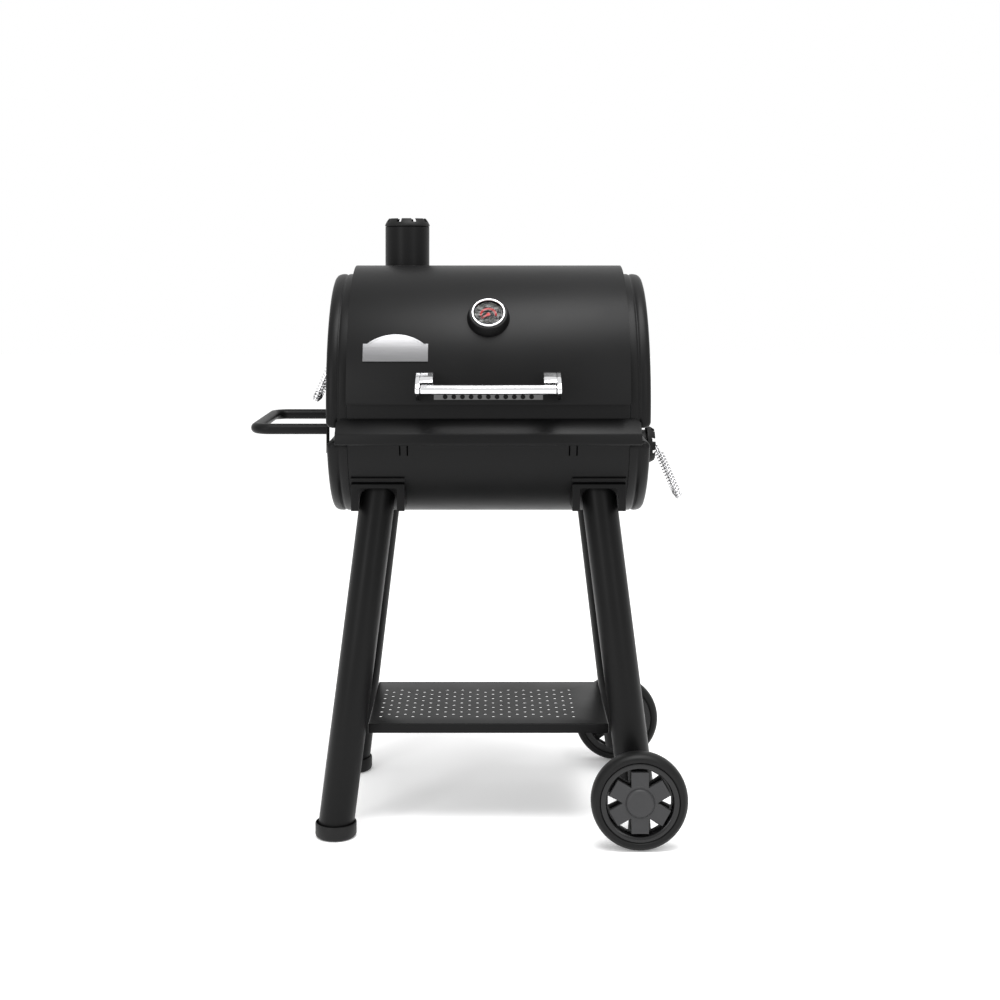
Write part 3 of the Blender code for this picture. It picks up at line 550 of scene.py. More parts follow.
def chrome_finish(name, tone, rough, depth=0.03):
    return grained(
        name, tuple(0.9 * c for c in tone), tone, rough, metallic=1.0, fine=400, broad=22, depth=depth
    )


chrome = chrome_finish("bright_chrome", (0.78, 0.78, 0.79), (0.07, 0.12))


def slab(places, travel):
    """A blank of one outline, drawn out in one direction."""
    piece = blank(places)
    bpy.ops.mesh.extrude_region_move(TRANSFORM_OT_translate={"value": travel})
    face_outward()
    done_editing()
    return piece


def tidy_round(points, corner, turn_steps=6):
    """An outline with every corner rounded off."""
    result = []
    for before, here, after in zip(points[-1:] + points[:-1], points, points[1:] + points[:1]):
        a, b, c = Vector(before), Vector(here), Vector(after)
        one, two = (a - b), (c - b)
        reach = min(corner, one.length * 0.48, two.length * 0.48)
        enter, leave = b + one.normalized() * reach, b + two.normalized() * reach
        for i in range(turn_steps + 1):
            t = i / turn_steps
            point = enter * (1 - t) ** 2 + b * 2 * t * (1 - t) + leave * t ** 2
            result.append(tuple(point))
    return result


grip_low, grip_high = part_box("lid_handle")
grip = (grip_low + grip_high) / 2
grip_radius = (grip_high.z - grip_low.z) / 2
start()
bpy.ops.mesh.primitive_cylinder_add(
    vertices=64, radius=grip_radius, depth=grip_high.x - grip_low.x, location=grip,
    rotation=(0, math.pi / 2, 0)
)
tube = bpy.context.object
settle()
round_edges(tube, 0.0008, 2, 60)
finish(tube, "lid_handle_tube", chrome, "lid", "lid_handle")

for side, word in ((-1, "left"), (1, "right")):
    cheek = [(-0.2440, 0.8714), (-0.2640, 0.8704), (-0.2850, 0.8620), (-0.3010, 0.8512), (-0.3077, 0.8415)]
    cheek += [(-0.3030, 0.8335), (-0.2900, 0.8300), (-0.2680, 0.8190), (-0.2440, 0.8157)]
    saddle = [(-0.2440, 0.8714), (-0.2640, 0.8704), (-0.2850, 0.8620), (-0.2935, 0.8545), (-0.2890, 0.8508)]
    saddle += [(-0.2700, 0.8468), (-0.2440, 0.8468)]
    parts = []
    for outline, near, far in ((cheek, 0.1240, 0.1325), (saddle, 0.1001, 0.1246)):
        outline = tidy_round([(axis.y + y, z) for y, z in outline], 0.006)
        low, high = sorted((axis.x + side * near, axis.x + side * far))
        part = slab([(low, y, z) for y, z in outline], (high - low, 0, 0))
        round_edges(part, 0.0016, 3, 40)
        apply_all(part)
        parts.append(part)
    start()
    combined(parts[0], parts[1], "UNION")
    bored(parts[0], drill(axis, (1, 0, 0), ON_LID, 1.2, 240))
    bored(parts[0], drill(grip, (1, 0, 0), grip_radius + 0.0002, grip_high.x - grip_low.x + 0.0006, 64))
    finish(parts[0], f"handle_bracket_{word}", chrome, "lid", f"handle_post_{word}")


def brushed(name, tone, rough, along=(1, 60, 60), depth=0.12):
    """Steel brushed along one direction: long streaks in the tone, the gloss and the bump."""
    material = bpy.data.materials.new(name)
    material.use_nodes = True
    nodes, link = material.node_tree.nodes, material.node_tree.links.new
    shader = nodes["Principled BSDF"]
    place, stretch = nodes.new("ShaderNodeTexCoord"), nodes.new("ShaderNodeMapping")
    streak, ramp = nodes.new("ShaderNodeTexNoise"), nodes.new("ShaderNodeValToRGB")
    gloss, bump = nodes.new("ShaderNodeMapRange"), nodes.new("ShaderNodeBump")
    stretch.inputs["Scale"].default_value = along
    streak.inputs["Scale"].default_value = 22
    streak.inputs["Detail"].default_value = 5
    ramp.color_ramp.elements[0].color = (*(0.82 * c for c in tone), 1)
    ramp.color_ramp.elements[1].color = (*tone, 1)
    gloss.inputs["To Min"].default_value, gloss.inputs["To Max"].default_value = rough
    bump.inputs["Strength"].default_value = depth
    bump.inputs["Distance"].default_value = 0.0002
    link(place.outputs["Object"], stretch.inputs["Vector"])
    link(stretch.outputs["Vector"], streak.inputs["Vector"])
    link(streak.outputs["Fac"], ramp.inputs["Fac"])
    link(streak.outputs["Fac"], gloss.inputs["Value"])
    link(streak.outputs["Fac"], bump.inputs["Height"])
    link(ramp.outputs["Color"], shader.inputs["Base Color"])
    link(gloss.outputs["Result"], shader.inputs["Roughness"])
    link(bump.outputs["Normal"], shader.inputs["Normal"])
    shader.inputs["Metallic"].default_value = 1.0
    return material


steel = brushed("brushed_steel", (0.62, 0.62, 0.63), (0.26, 0.40))


def rows_of_holes(columns, rows, step_x, step_row, along, radius, depth, direction, corner, shift):
    """One cutter for a field of staggered holes: two arrays of round punches, joined."""
    fields = []
    for odd in (0, 1):
        start()
        turn = Vector(direction).to_track_quat("Z", "Y").to_euler()
        place = Vector(corner) + Vector((step_x / 2 * odd, 0, 0)) + Vector(along) * step_row * odd
        bpy.ops.mesh.primitive_cylinder_add(
            vertices=14, radius=radius, depth=depth, location=place, rotation=turn
        )
        field = bpy.context.object
        bpy.ops.object.transform_apply(location=False, rotation=True, scale=True)
        for count, offset in (
            (columns - odd * shift, Vector((step_x, 0, 0))),
            ((rows + 1 - odd) // 2, Vector(along) * 2 * step_row)
        ):
            repeat = field.modifiers.new("repeat", "ARRAY")
            repeat.count = count
            repeat.use_relative_offset = False
            repeat.use_constant_offset = True
            repeat.constant_offset_displace = offset
        apply_all(field)
        fields.append(field)
    return joined(fields)


dark_steel = brushed("dark_steel", (0.13, 0.13, 0.13), (0.30, 0.42))
shield_low, shield_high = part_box("handle_heat_shield")
middle = (shield_low + shield_high) / 2
shield = cube(middle, shield_high - shield_low)
corner = (middle.x - 5 * 0.0157, middle.y, 0.8268)
bored(shield, rows_of_holes(11, 2, 0.0157, 0.0112, (0, 0, 1), 0.0045, 0.02, (0, 1, 0), corner, 1))
finish(shield, "heat_shield", dark_steel, "lid", "handle_heat_shield")

# ---- Chimney ----
# A short welded pipe stands on the lid in a saddle-shaped flange. A cast cap turns on top of it
# to open its vents, with a rim of eight turned-in tabs to grip.


def turned(profile, place, facing=(0, 0, 1), sides=64):
    """A ring at the profile's first point, its edge drawn along and scaled from point to point."""
    start()
    bpy.ops.mesh.primitive_circle_add(
        vertices=sides, radius=max(profile[0][0], 1e-6), fill_type="NOTHING", location=(0, 0, profile[0][1])
    )
    piece = bpy.context.object
    settle()
    edit()
    bpy.ops.mesh.select_all(action="SELECT")
    for (radius, height), (wider, higher) in zip(profile, profile[1:]):
        bpy.ops.mesh.extrude_region_move(TRANSFORM_OT_translate={"value": (0, 0, higher - height)})
        scale = max(wider, 1e-6) / max(radius, 1e-6)
        bpy.ops.transform.resize(value=(scale, scale, 1), center_override=(0, 0, higher))
    face_outward(1e-5)
    done_editing()
    return moved(piece, place, facing)


def moved(piece, place, facing):
    piece.rotation_euler = Vector(facing).to_track_quat("Z", "Y").to_euler()
    piece.location = place
    bpy.context.view_layer.objects.active = piece
    piece.select_set(True)
    settle()
    return piece


pipe_radius = (pipe_high.x - pipe_low.x) / 2
pipe_profile = [
    (0.034, pipe_high.z), (pipe_radius - 0.0012, pipe_high.z), (pipe_radius, pipe_high.z - 0.0012),
    (pipe_radius, pipe_low.z), (pipe_radius - 0.0015, pipe_low.z), (
        pipe_radius - 0.0015, pipe_high.z - 0.0015
    ),
    (0.034, pipe_high.z - 0.0015), (0.034, pipe_high.z),
]
finish(
    turned(pipe_profile, (flue.x, flue.y, 0), sides=96), "chimney_tube", powder_coat, "lid", "chimney_pipe"
)


def barrel_shell(inside, outside, half=0.5, sides=240):
    """A thick tube about the barrel's axis, to give a piece the curve of the lid."""
    profile = [(inside, -half), (outside, -half), (outside, half), (inside, half), (inside, -half)]
    return turned(profile, axis, (1, 0, 0), sides)


def kept_inside(piece, other):
    combined(piece, other, "INTERSECT")


collar = drill(flue, (0, 0, 1), 0.0588, 0.14, 96)
kept_inside(collar, barrel_shell(ON_LID, SKIN + 0.0028))
bored(collar, drill(flue, (0, 0, 1), pipe_radius + 0.0003, 0.3, 96))
round_edges(collar, 0.0007)
finish(collar, "chimney_collar", powder_coat, "lid", "chimney_flange")

casting = grained(
    "black_casting", (0.004, 0.004, 0.004), (0.007, 0.007, 0.007), (0.46, 0.58), fine=650, broad=30,
    depth=0.45,
    specular=0.14,
)


def castellated(name, node, body, base, outward, radius, height):
    """A cast cap: turned plate and rim, eight tabs drawn up from the rim and leant in, four vents."""
    plate = height - 0.0070
    profile = [
        (0, plate - 0.0042), (radius - 0.0034, plate - 0.0042), (radius - 0.0034, 0), (radius - 0.0005, 0),
        (radius, 0.0005), (radius, 0.0030), (radius - 0.0030, plate), (radius - 0.0068, plate),
        (radius - 0.0078, plate - 0.0010),
        (0.0075, plate - 0.0010), (0.0062, plate + 0.0006), (0, plate + 0.0008),
    ]
    cap = turned(profile, (0, 0, 0), sides=96)
    edit()

    def on_tab(middle, face):
        around = math.degrees(math.atan2(middle.y, middle.x)) % 45
        out = math.hypot(middle.x, middle.y)
        return face.normal.z > 0.9 and radius - 0.0068 < out < radius - 0.0030 and abs(around - 22.5) > 7.4

    pick(on_tab)
    for rise, lean in ((0.0018, 0.975), (0.0030, 0.945), (0.0022, 0.955)):
        bpy.ops.mesh.extrude_region_move(TRANSFORM_OT_translate={"value": (0, 0, rise)})
        bpy.ops.transform.resize(value=(lean, lean, 1), center_override=(0, 0, 0))
    done_editing()
    for quarter in range(4):
        angle = math.radians(90 * quarter + 45)
        at = (0.52 * radius * math.cos(angle), 0.52 * radius * math.sin(angle), plate)
        bored(cap, drill(at, (0, 0, 1), 0.0085, 0.03, 32))
    round_edges(cap, 0.0004, 2, 40)
    apply_all(cap)
    return finish(moved(cap, base, outward), name, casting, body, node)


crown_low, crown_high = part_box("chimney_crown")
castellated(
    "chimney_cap", "chimney_crown", "crown", (flue.x, flue.y, crown_low.z), (0, 0, 1),
    (crown_high.x - crown_low.x) / 2, crown_high.z - crown_low.z,
)

# ---- Thermometer ----
# A bimetal dial in a black conical housing: chromed bezel, glass, black face with light figures
# from 100 to 700, a red arc and a red needle.

lean = math.radians(37.5)
face_out = Vector((0, -math.cos(lean), math.sin(lean)))
face_up = Vector((0, math.sin(lean), math.cos(lean)))
dial_seat = axis + face_out * SKIN
cone = [
    (0.0042, -0.006), (0.0400, -0.006), (0.0398, 0.0028), (0.0372, 0.0115), (0.0360, 0.0150),
    (0.0345, 0.0163),
    (0.0320, 0.0165), (0.0305, 0.0160), (0.0305, 0.0095), (0.0042, 0.0095), (0.0042, -0.006),
]
housing = turned(cone, dial_seat, face_out, 96)
bored(housing, drill(axis, (1, 0, 0), ON_LID, 1.2, 240))
finish(housing, "dial_housing", powder_coat, "lid", "thermometer_housing", angle=30)
ring = [
    (0.0278, 0.0169), (0.0278, 0.0184), (0.0285, 0.0194), (0.0296, 0.0200), (0.0307, 0.0196),
    (0.0314, 0.0184),
    (0.0315, 0.0169), (0.0278, 0.0169),
]
finish(turned(ring, dial_seat, face_out, 96), "dial_bezel", chrome, "lid", "thermometer_bezel", angle=60)

enamel = grained(
    "black_enamel", (0.002, 0.002, 0.002), (0.003, 0.003, 0.003), (0.5, 0.55), depth=0.03, specular=0.1
)
figures = grained("light_enamel", (0.34, 0.34, 0.33), (0.42, 0.42, 0.41), (0.45, 0.5), depth=0.03)
red = grained(
    "red_enamel", (0.42, 0.006, 0.004), (0.52, 0.010, 0.007), (0.35, 0.42), depth=0.03, specular=0.2
)
face_profile = [
    (0, 0.0098), (0.0298, 0.0098), (0.0300, 0.0100), (0.0300, 0.0106), (0.0298, 0.0108), (0, 0.0108)
]
finish(turned(face_profile, dial_seat, face_out, 96), "dial_face", enamel, "lid", "thermometer_dial")

across = Vector((1, 0, 0))


def on_dial(angle, radius, height):
    """A place on the dial, its angle counted clockwise from straight up."""
    turn = math.radians(angle)
    return dial_seat + (across * math.sin(turn) + face_up * math.cos(turn)) * radius + face_out * height


dial_axes = Matrix((across, face_up, face_out)).transposed().to_4x4()


def painted(piece, name, material):
    """Thin enamel on the dial's face. It stands for no node of its own."""
    apply_all(piece)
    edit()
    face_outward(1e-6)
    done_editing()
    piece.name = name
    piece.data.name = name
    piece.data.materials.clear()
    piece.data.materials.append(material)
    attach(piece, "lid")
    start()
    return piece


start()
marks = []
for i in range(31):
    angle = -135 + 9 * i
    long = 0.0034 if i % 5 == 0 else 0.0018
    bpy.ops.mesh.primitive_cube_add(
        size=1, location=(0, 0, 0), scale=(0.0005 + (i % 5 == 0) * 0.0003, long, 0.0003)
    )
    mark = bpy.context.object
    mark.matrix_world = (
        Matrix.Translation(on_dial(angle, 0.0268 - long / 2, 0.0109)) @ dial_axes
        @ Matrix.Rotation(math.radians(-angle), 4, "Z") @ Matrix.Diagonal((*mark.scale, 1))
    )
    marks.append(mark)
for i in range(7):
    angle = -135 + 45 * i
    bpy.ops.object.text_add(location=(0, 0, 0))
    figure = bpy.context.object
    figure.data.body = str(100 + 100 * i)
    figure.data.size = 0.0062
    figure.data.align_x = "CENTER"
    figure.data.align_y = "CENTER"
    figure.data.extrude = 0.0001
    figure.data.resolution_u = 3
    figure.matrix_world = Matrix.Translation(on_dial(angle, 0.0205, 0.01095)) @ dial_axes
    bpy.ops.object.convert(target="MESH")
    marks.append(bpy.context.object)
painted(joined(marks), "dial_marks", figures)

start()
bpy.ops.mesh.primitive_circle_add(vertices=120, radius=0.0152, fill_type="NOTHING", location=(0, 0, 0))
arc = bpy.context.object
edit()
bpy.ops.mesh.select_all(action="SELECT")
bpy.ops.mesh.extrude_region_move()
bpy.ops.transform.resize(value=(0.83, 0.83, 1), center_override=(0, 0, 0))
pick(lambda middle, face: math.degrees(math.atan2(middle.y, middle.x)) % 360 > 190 and middle.y < -0.002)
bpy.ops.mesh.delete(type="FACE")
done_editing()
wall(arc, 0.0002, 0)
apply_all(arc)
arc.matrix_world = Matrix.Translation(on_dial(0, 0, 0.0110)) @ dial_axes
painted(arc, "dial_arc", red)

needle_low, needle_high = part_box("thermometer_needle")
start()
bpy.ops.mesh.primitive_cylinder_add(vertices=48, radius=0.0034, depth=0.0012, location=(0, 0, 0))
pointer = bpy.context.object
round_edges(pointer, 0.0003)
apply_all(pointer)
edit()
heading = math.radians(215)
pick(lambda middle, face: face.normal.x * math.cos(heading) + face.normal.y * math.sin(heading) > 0.93)
reach = Vector((math.cos(heading), math.sin(heading), 0)) * 0.0130
bpy.ops.mesh.extrude_region_move(TRANSFORM_OT_translate={"value": reach})
bpy.ops.transform.resize(value=(0.25, 0.25, 0.5), center_override=reach * 1.25)
done_editing()
pointer.matrix_world = Matrix.Translation(on_dial(0, 0, 0.0122)) @ dial_axes
finish(pointer, "dial_needle", red, "needle", "thermometer_needle")

glass = grained(
    "clear_glass", (0.010, 0.010, 0.010), (0.014, 0.014, 0.014), (0.03, 0.06), fine=300, depth=0.01
)
glass.node_tree.nodes["Principled BSDF"].inputs["Alpha"].default_value = 0.10
pane = [(0, 0.0146), (0.0298, 0.0146), (0.0298, 0.0158), (0.0290, 0.0160), (0, 0.0160)]
finish(turned(pane, dial_seat, face_out, 64), "dial_glass", glass, "lid", "thermometer_lens")

# ---- Name plate ----
# A brushed plate with an arched top and a raised rim, bent to the curve of the lid. It is blank.


def arched(half, side, high, margin):
    half, low, side, high = half - margin, margin, side - margin, high - margin
    shoulder = half - 0.0075
    rise = high - side
    radius = (shoulder ** 2 + rise ** 2) / (2 * rise)
    outline = [(-half, low), (half, low), (half, side), (shoulder, side)]
    for i in range(1, 32):
        x = shoulder - 2 * shoulder * i / 32
        outline.append((x, side + rise - radius + math.sqrt(radius ** 2 - x ** 2)))
    return outline + [(-shoulder, side), (-half, side)]


plate_low, plate_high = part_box("name_plate")
plate_half = (plate_high.x - plate_low.x) / 2 - 0.0001
plate_middle = 0.0355 / 2
middle_angle = math.radians(17.1) + plate_middle / SKIN
plate_out = Vector((0, -math.cos(middle_angle), math.sin(middle_angle)))
layers = []
for margin, low, high in ((0, 0.0003, 0.0019), (0.0022, 0.0014, 0.0060)):
    outline = arched(plate_half, 0.0341, 0.0530, margin)
    layer = slab([(x, y - plate_middle, -0.03) for x, y in outline], (0, 0, 0.06))
    layer.location = Vector(((plate_low.x + plate_high.x) / 2, axis.y, axis.z)) + plate_out * SKIN
    layer.rotation_euler = (math.pi / 2 - middle_angle, 0, 0)
    settle()
    kept_inside(layer, barrel_shell(SKIN + low, SKIN + high))
    layers.append(layer)
plate, recess = layers
bored(plate, recess)
plate_steel = brushed("plate_steel", (0.23, 0.23, 0.235), (0.24, 0.36), along=(1, 40, 40), depth=0.06)
finish(plate, "name_plate_blank", plate_steel, "lid", "name_plate")

# ---- Side handle ----
# A U of black tube to push and lift the grill by, welded at each end to a bent strap that bolts
# to the left end of the barrel.


def bent_tube(points, radius, corner, rings=3):
    """A tube drawn along a route with rounded corners, turned into a mesh with closed ends."""
    start()
    route = [Vector(points[0])]
    for before, here, after in zip(points, points[1:], points[2:]):
        a, b, c = Vector(before), Vector(here), Vector(after)
        one, two = (a - b).normalized(), (c - b).normalized()
        half = one.angle(two) / 2
        centre = b + (one + two).normalized() * corner / math.sin(half)
        first, last = b + one * corner / math.tan(half) - centre, b + two * corner / math.tan(half) - centre
        spin_axis, spin_angle = first.rotation_difference(last).to_axis_angle()
        for i in range(13):
            route.append(centre + Matrix.Rotation(spin_angle * i / 12, 3, spin_axis) @ first)
    route.append(Vector(points[-1]))
    bpy.ops.curve.primitive_nurbs_path_add(location=(0, 0, 0))
    line = bpy.context.object
    line.data.splines.clear()
    spline = line.data.splines.new("POLY")
    spline.points.add(len(route) - 1)
    for point, place in zip(spline.points, route):
        point.co = (*place, 1)
    if not radius:
        return line
    line.data.bevel_depth = radius
    line.data.bevel_resolution = rings
    line.data.use_fill_caps = True
    bpy.ops.object.convert(target="MESH")
    line = bpy.context.object
    edit()
    face_outward(1e-6)
    done_editing()
    return line


def block(low, high, bevel, segments=2):
    low, high = Vector(low), Vector(high)
    piece = cube((low + high) / 2, high - low)
    round_edges(piece, bevel, segments)
    apply_all(piece)
    return piece


loop_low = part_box("side_handle")[0]
loop_x = loop_low.x + 0.0102
loop_y = 0.147
bar_z = 0.755
strap_x = axis.x - 0.3046
route = [
    (strap_x, axis.y - loop_y, bar_z), (loop_x, axis.y - loop_y, bar_z), (loop_x, axis.y + loop_y, bar_z),
    (strap_x, axis.y + loop_y, bar_z),
]
handle_parts = [bent_tube(route, 0.0102, 0.030, 6)]
for sign in (-1, 1):
    y = axis.y + sign * loop_y
    x = axis.x
    handle_parts.append(block((x - 0.3062, y - 0.016, 0.711), (x - 0.3030, y + 0.016, 0.768), 0.0008))
    handle_parts.append(block((x - 0.3062, y - 0.016, 0.711), (x - 0.2800, y + 0.016, 0.7142), 0.0008))
    handle_parts.append(block((x - 0.2832, y - 0.016, 0.690), (x - 0.2800, y + 0.016, 0.7142), 0.0008))
finish(joined(handle_parts), "push_handle", powder_coat, "cart", "side_handle")

# ---- Legs ----
# Four round tubes splay out from folded channels welded under the barrel. The left pair stands in
# moulded feet, and the right pair is bored for the axle.

for side, side_word in ((-1, "left"), (1, "right")):
    for facing, facing_word in ((-1, "front"), (1, "rear")):
        node = f"leg_{facing_word}_{side_word}"
        leg_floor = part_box(node)[0].z
        slope = Vector((side * 0.1218, facing * 0.098, -1))
        knee = Vector((axis.x + side * 0.220, axis.y + facing * 0.141, 0.55))
        high_end, low_end = knee - slope * 0.105, knee + slope * (0.58 - leg_floor)
        start()
        bpy.ops.mesh.primitive_cylinder_add(
            vertices=72, radius=0.0333, depth=(low_end - high_end).length, end_fill_type="NOTHING",
            location=(high_end + low_end) / 2, rotation=(-slope).to_track_quat("Z", "Y").to_euler(),
        )
        leg = bpy.context.object
        settle()
        edit()
        bpy.ops.mesh.select_all(action="SELECT")
        bpy.ops.mesh.bisect(plane_co=(0, 0, leg_floor), plane_no=(0, 0, 1), clear_inner=True)
        done_editing()
        wall(leg, 0.002)
        apply_all(leg)
        bored(leg, drill(axis, (1, 0, 0), BARREL + 0.0003, 1.2, 160))
        round_edges(leg, 0.0007, 2, 50)
        finish(leg, f"leg_tube_{facing_word}_{side_word}", powder_coat, "cart", node)

for side, side_word in ((-1, "left"), (1, "right")):
    for facing, facing_word in ((-1, "front"), (1, "rear")):
        node = f"leg_bracket_{facing_word}_{side_word}"
        low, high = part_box(node)
        x = (low.x + high.x) / 2
        outer_y = axis.y + facing * 0.178
        inner_y = axis.y + facing * 0.090
        channel = block(
            (low.x, min(outer_y, inner_y), low.z), (high.x, max(outer_y, inner_y), 0.6545), 0.0015, 3
        )
        lip = block(
            (low.x, min(outer_y, axis.y + facing * 0.15), 0.650),
            (high.x, max(axis.y + facing * 0.19, outer_y - 0.01), high.z), 0.0004
        )
        kept_inside(lip, drill(axis, (1, 0, 0), BARREL + 0.0031, 1.2, 160))
        hollow = sorted((axis.y + facing * 0.175, axis.y + facing * 0.02))
        bored(
            channel, block((low.x + 0.003, hollow[0], 0.5), (high.x - 0.003, hollow[1], 0.6515), 0.0010, 2)
        )
        bored(
            channel,
            block(
                (x - 0.036, min(outer_y - 0.01, outer_y + 0.01), 0.5),
                (x + 0.036, max(outer_y - 0.01, outer_y + 0.01), 0.6465), 0.004, 4
            )
        )
        combined(channel, lip, "UNION")
        bored(channel, drill(axis, (1, 0, 0), BARREL + 0.0003, 1.2, 160))
        finish(channel, f"leg_channel_{facing_word}_{side_word}", powder_coat, "cart", node)

moulded = grained(
    "black_moulding", (0.005, 0.005, 0.005), (0.008, 0.008, 0.008), (0.42, 0.52), fine=1400, broad=14,
    depth=0.2,
    specular=0.18,
)
for facing_word in ("front", "rear"):
    foot_low, foot_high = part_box(f"foot_{facing_word}_left")
    centre = (foot_low + foot_high) / 2
    tall, wide = foot_high.z, (foot_high.x - foot_low.x) / 2
    cup = [
        (0, 0), (0.0300, 0), (0.0345, 0.0008), (0.0372, 0.0030), (wide, 0.0065), (wide, tall - 0.0020),
        (wide - 0.0006, tall - 0.0006), (0.0366, tall), (0.0364, tall - 0.0010), (0.0364, 0.0035),
        (0, 0.0035),
    ]
    foot = turned(cup, (centre.x, centre.y, 0), sides=96)
    finish(foot, f"leg_cap_{facing_word}", moulded, "cart", f"foot_{facing_word}_left")

# ---- Bottom shelf ----
# A shallow tray folded from one sheet and pierced all over with staggered round holes.

tray_low, tray_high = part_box("bottom_shelf")
tray = cube((tray_low + tray_high) / 2, tray_high - tray_low)
edit()
pick(lambda middle, face: face.normal.z < -0.9)
bpy.ops.mesh.delete(type="FACE")
done_editing()
round_edges(tray, 0.003, 4)
wall(tray, 0.0012)
apply_all(tray)
first_hole = (axis.x - 0.2075, axis.y - 0.1005, tray_high.z)
bored(tray, rows_of_holes(13, 13, 0.031, 0.0155, (0, 1, 0), 0.0036, 0.012, (0, 0, 1), first_hole, 1))
finish(tray, "shelf_tray", powder_coat, "cart", "bottom_shelf")

# ---- Wheels ----
# Each wheel has a hard black tyre on a moulded rim, and a grey spider of six broad spokes with a
# push-on cap. It turns on a plain steel axle.

rubber = grained(
    "tyre_black", (0.0045, 0.0045, 0.0045), (0.0075, 0.0075, 0.0075), (0.40, 0.50), fine=500, broad=20,
    depth=0.25, specular=0.14
)
rim_gloss = grained(
    "rim_black", (0.0045, 0.0045, 0.0047), (0.0065, 0.0065, 0.0067), (0.20, 0.27), fine=500, depth=0.05,
    specular=0.3
)
spider_grey = grained(
    "spider_grey", (0.026, 0.026, 0.027), (0.034, 0.034, 0.035), (0.34, 0.42), fine=1400, broad=30, depth=0.2,
    specular=0.2,
)
for sign, word in ((-1, "front"), (1, "rear")):
    tyre_low, tyre_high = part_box(f"tyre_{word}")
    centre, outward = (tyre_low + tyre_high) / 2, Vector((0, sign, 0))
    rim_r = (tyre_high.z - tyre_low.z) / 2
    body = "wheel_f" if sign < 0 else "wheel_r"
    half_profile = [
        (0.0728, 0.0150), (0.0732, 0.0172), (0.0745, 0.0183), (0.0765, 0.0188), (0.0800, 0.0189),
        (0.0816, 0.0183),
        (0.0830, 0.0170), (0.0852, 0.0150), (0.0872, 0.0118), (0.0884, 0.0078), (rim_r, 0.0030),
    ]
    tread = half_profile + [(r, -h) for r, h in reversed(half_profile)] + [half_profile[0]]
    finish(
        turned(tread, centre, outward, 144), f"wheel_tyre_{word}", rubber, body, f"tyre_{word}", angle=40
    )
    hoop = [
        (0.0727, 0.0148), (0.0715, 0.0165), (0.0690, 0.0172), (0.0650, 0.0165), (0.0625, 0.0150),
        (0.0612, 0.0120),
        (0.0606, 0.0060), (0.0600, 0.0010), (0.0190, 0.0010), (0.0150, -0.0060), (0.0150, -0.0378),
        (0.0064, -0.0378),
        (0.0064, -0.0030), (0.0560, -0.0030), (0.0606, -0.0060), (0.0615, -0.0150), (0.0727, -0.0150),
        (0.0727, 0.0148),
    ]
    rim = turned(hoop, (0, 0, 0), sides=120)
    for i in range(6):
        start()
        angle = math.radians(60 * i)
        bpy.ops.mesh.primitive_cylinder_add(
            vertices=3, radius=0.0120, depth=0.02, location=(
                0.0515 * math.cos(angle), 0.0515 * math.sin(angle), 0
            ),
            rotation=(0, 0, angle + math.pi / 2),
        )
        window = bpy.context.object
        window.scale = (0.85, 1, 1)
        settle()
        round_edges(window, 0.0012, 2, 80)
        apply_all(window)
        bored(rim, window)
    finish(moved(rim, centre, outward), f"wheel_rim_{word}", rim_gloss, body, f"wheel_hub_{word}")
    spokes = []
    for i in range(3):
        spokes.append(cube((0, 0, 0.0118), (0.111, 0.0315, 0.0090), (0, 0, math.radians(60 * i + 30))))
    collar = [
        (0.0150, 0.0010), (0.0310, 0.0010), (0.0310, 0.0160), (0.0306, 0.0166), (0.0272, 0.0166),
        (0.0270, 0.0150),
        (0.0150, 0.0150), (0.0150, 0.0010),
    ]
    spokes.append(turned(collar, (0, 0, 0), sides=96))
    start()
    for other in spokes[1:]:
        combined(spokes[0], other, "UNION")
    round_edges(spokes[0], 0.0010, 3, 50)
    apply_all(spokes[0])
    spider = moved(spokes[0], centre, outward)
    finish(spider, f"wheel_spider_{word}", spider_grey, body)
    dome = [
        (0, 0.0238), (0.0100, 0.0234), (0.0190, 0.0222), (0.0222, 0.0212), (0.0243, 0.0198), (0.0256, 0.0180),
        (0.0261, 0.0160), (0.0262, 0.0124), (0, 0.0124),
    ]
    finish(
        turned(dome, centre, outward, 96), f"wheel_cap_{word}", spider_grey, body, f"hub_cap_{word}",
        angle=30
    )

# ---- Dampers and coil grips ----
# The left end of the lid and the charcoal door each carry a cast damper. Its handle is a bail of
# chromed wire, wound with an open coil that stays cool, on a small clevis in the middle.

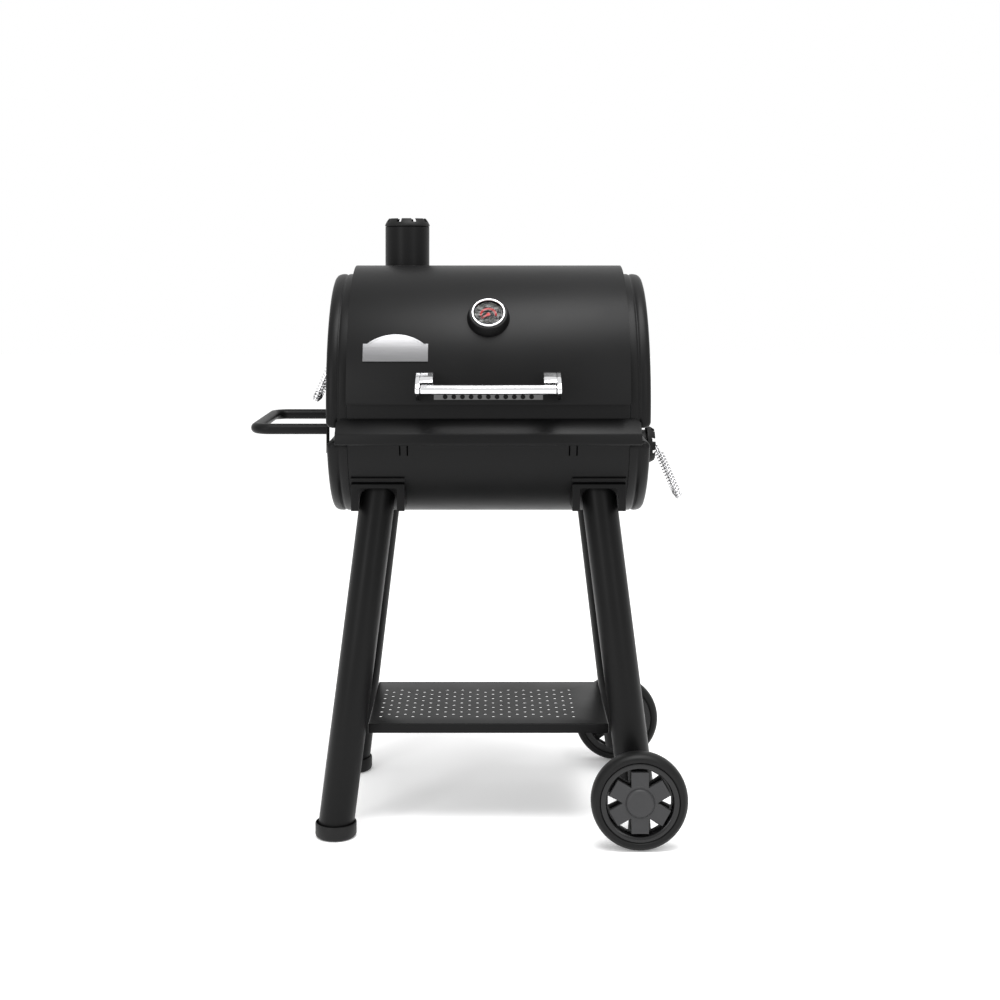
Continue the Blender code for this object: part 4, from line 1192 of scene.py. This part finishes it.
turns_at = {
    joint["name"]: Vector(joint["pos_m"])
    for joint in frame["record"]["behaviour"]["joints"]
    if "pos_m" in joint
}
left_low, left_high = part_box("lid_damper")
for sign, name, node, body, grip_body, grip_node, grip_joint in (
    (
        -1, "lid_damper_cap", "lid_damper", "left_damper", "left_damper_handle", "lid_damper_handle",
        "left_damper_handle_swing"
    ),
    (
        1, "door_damper_cap", "door_damper", "right_damper", "right_damper_handle", "door_handle",
        "right_damper_handle_swing"
    ),
):
    cap_low, cap_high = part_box(node)
    base = (cap_low + cap_high) / 2
    base.x = cap_high.x if sign < 0 else cap_low.x
    castellated(name, node, body, base, (sign, 0, 0), (cap_high.y - cap_low.y) / 2, cap_high.x - cap_low.x)
    pivot = turns_at[grip_joint]
    face_x = cap_low.x if sign < 0 else cap_high.x
    plate_x = face_x - sign * 0.0070
    near_x, far_x = sorted((plate_x, pivot.x + sign * 0.0035))
    clevis = joined([
        block(
            (near_x, pivot.y - 0.0080, pivot.z - 0.0050), (far_x, pivot.y - 0.0050, pivot.z + 0.0050),
            0.0010
        ),
        block(
            (near_x, pivot.y + 0.0050, pivot.z - 0.0050), (far_x, pivot.y + 0.0080, pivot.z + 0.0050),
            0.0010
        ),
    ])
    finish(clevis, f"{name}_clevis", chrome, body)
    tilt = math.radians(23.5)
    down = Vector((sign * math.sin(tilt), 0, -math.cos(tilt)))
    near, far = pivot - Vector((0, 0.040, 0)), pivot + Vector((0, 0.040, 0))
    reach = down * 0.1075
    core = bent_tube([pivot - Vector((0, 0.012, 0)), near, near + reach, far + reach, far,
                      pivot + Vector((0, 0.012, 0))], 0.0019, 0.006, 2)
    cross = bent_tube([near + Vector((0, 0.008, 0)), far - Vector((0, 0.008, 0))], 0.0019, 0.001, 2)
    guide = bent_tube(
        [near + down * 0.014, near + reach, far + reach, far + down * 0.014], 0, 0.020
    )
    path_length = guide.data.splines[0].calc_length()
    start()
    bpy.ops.mesh.primitive_circle_add(
        vertices=8, radius=0.00145, fill_type="NOTHING", location=(0.0059, 0, 0.0015),
        rotation=(math.pi / 2, 0, 0)
    )
    coil = bpy.context.object
    settle()
    winding = coil.modifiers.new("winding", "SCREW")
    pitch = 0.0064
    winding.iterations = int((path_length - 0.003) / pitch)
    winding.screw_offset = pitch
    winding.steps = winding.render_steps = 14
    winding.use_merge_vertices = False
    winding.use_smooth_shade = True
    bend = coil.modifiers.new("bend", "CURVE")
    bend.object = guide
    bend.deform_axis = "POS_Z"
    apply_all(coil)
    edit()
    face_outward()
    pick(lambda middle, edge: len(edge.link_faces) == 1, "EDGE")
    bpy.ops.mesh.edge_face_add()
    done_editing()
    bpy.data.objects.remove(guide, do_unlink=True)
    finish(joined([coil, core, cross]), f"{name}_grip", chrome, grip_body, grip_node, angle=60)

# ---- What stays as it was made ----
# Hinges, pins, axle, grids, grate, ash pan, rack and thermometer stem keep their own shape and
# take the finish of the real pieces.

iron = grained(
    "seasoned_iron", (0.012, 0.012, 0.012), (0.022, 0.021, 0.020), (0.45, 0.65), fine=420, broad=18,
    depth=0.5
)
finishes = {"coated_steel": powder_coat, "brushed_steel": steel, "chromed_steel": chrome, "cast_iron": iron}
for row in frame["record"]["subparts"]:
    piece = frame["nodes"][row["node"]]
    if not piece.hide_render:
        for spot in piece.material_slots:
            spot.material = finishes[row["material_slot"]]
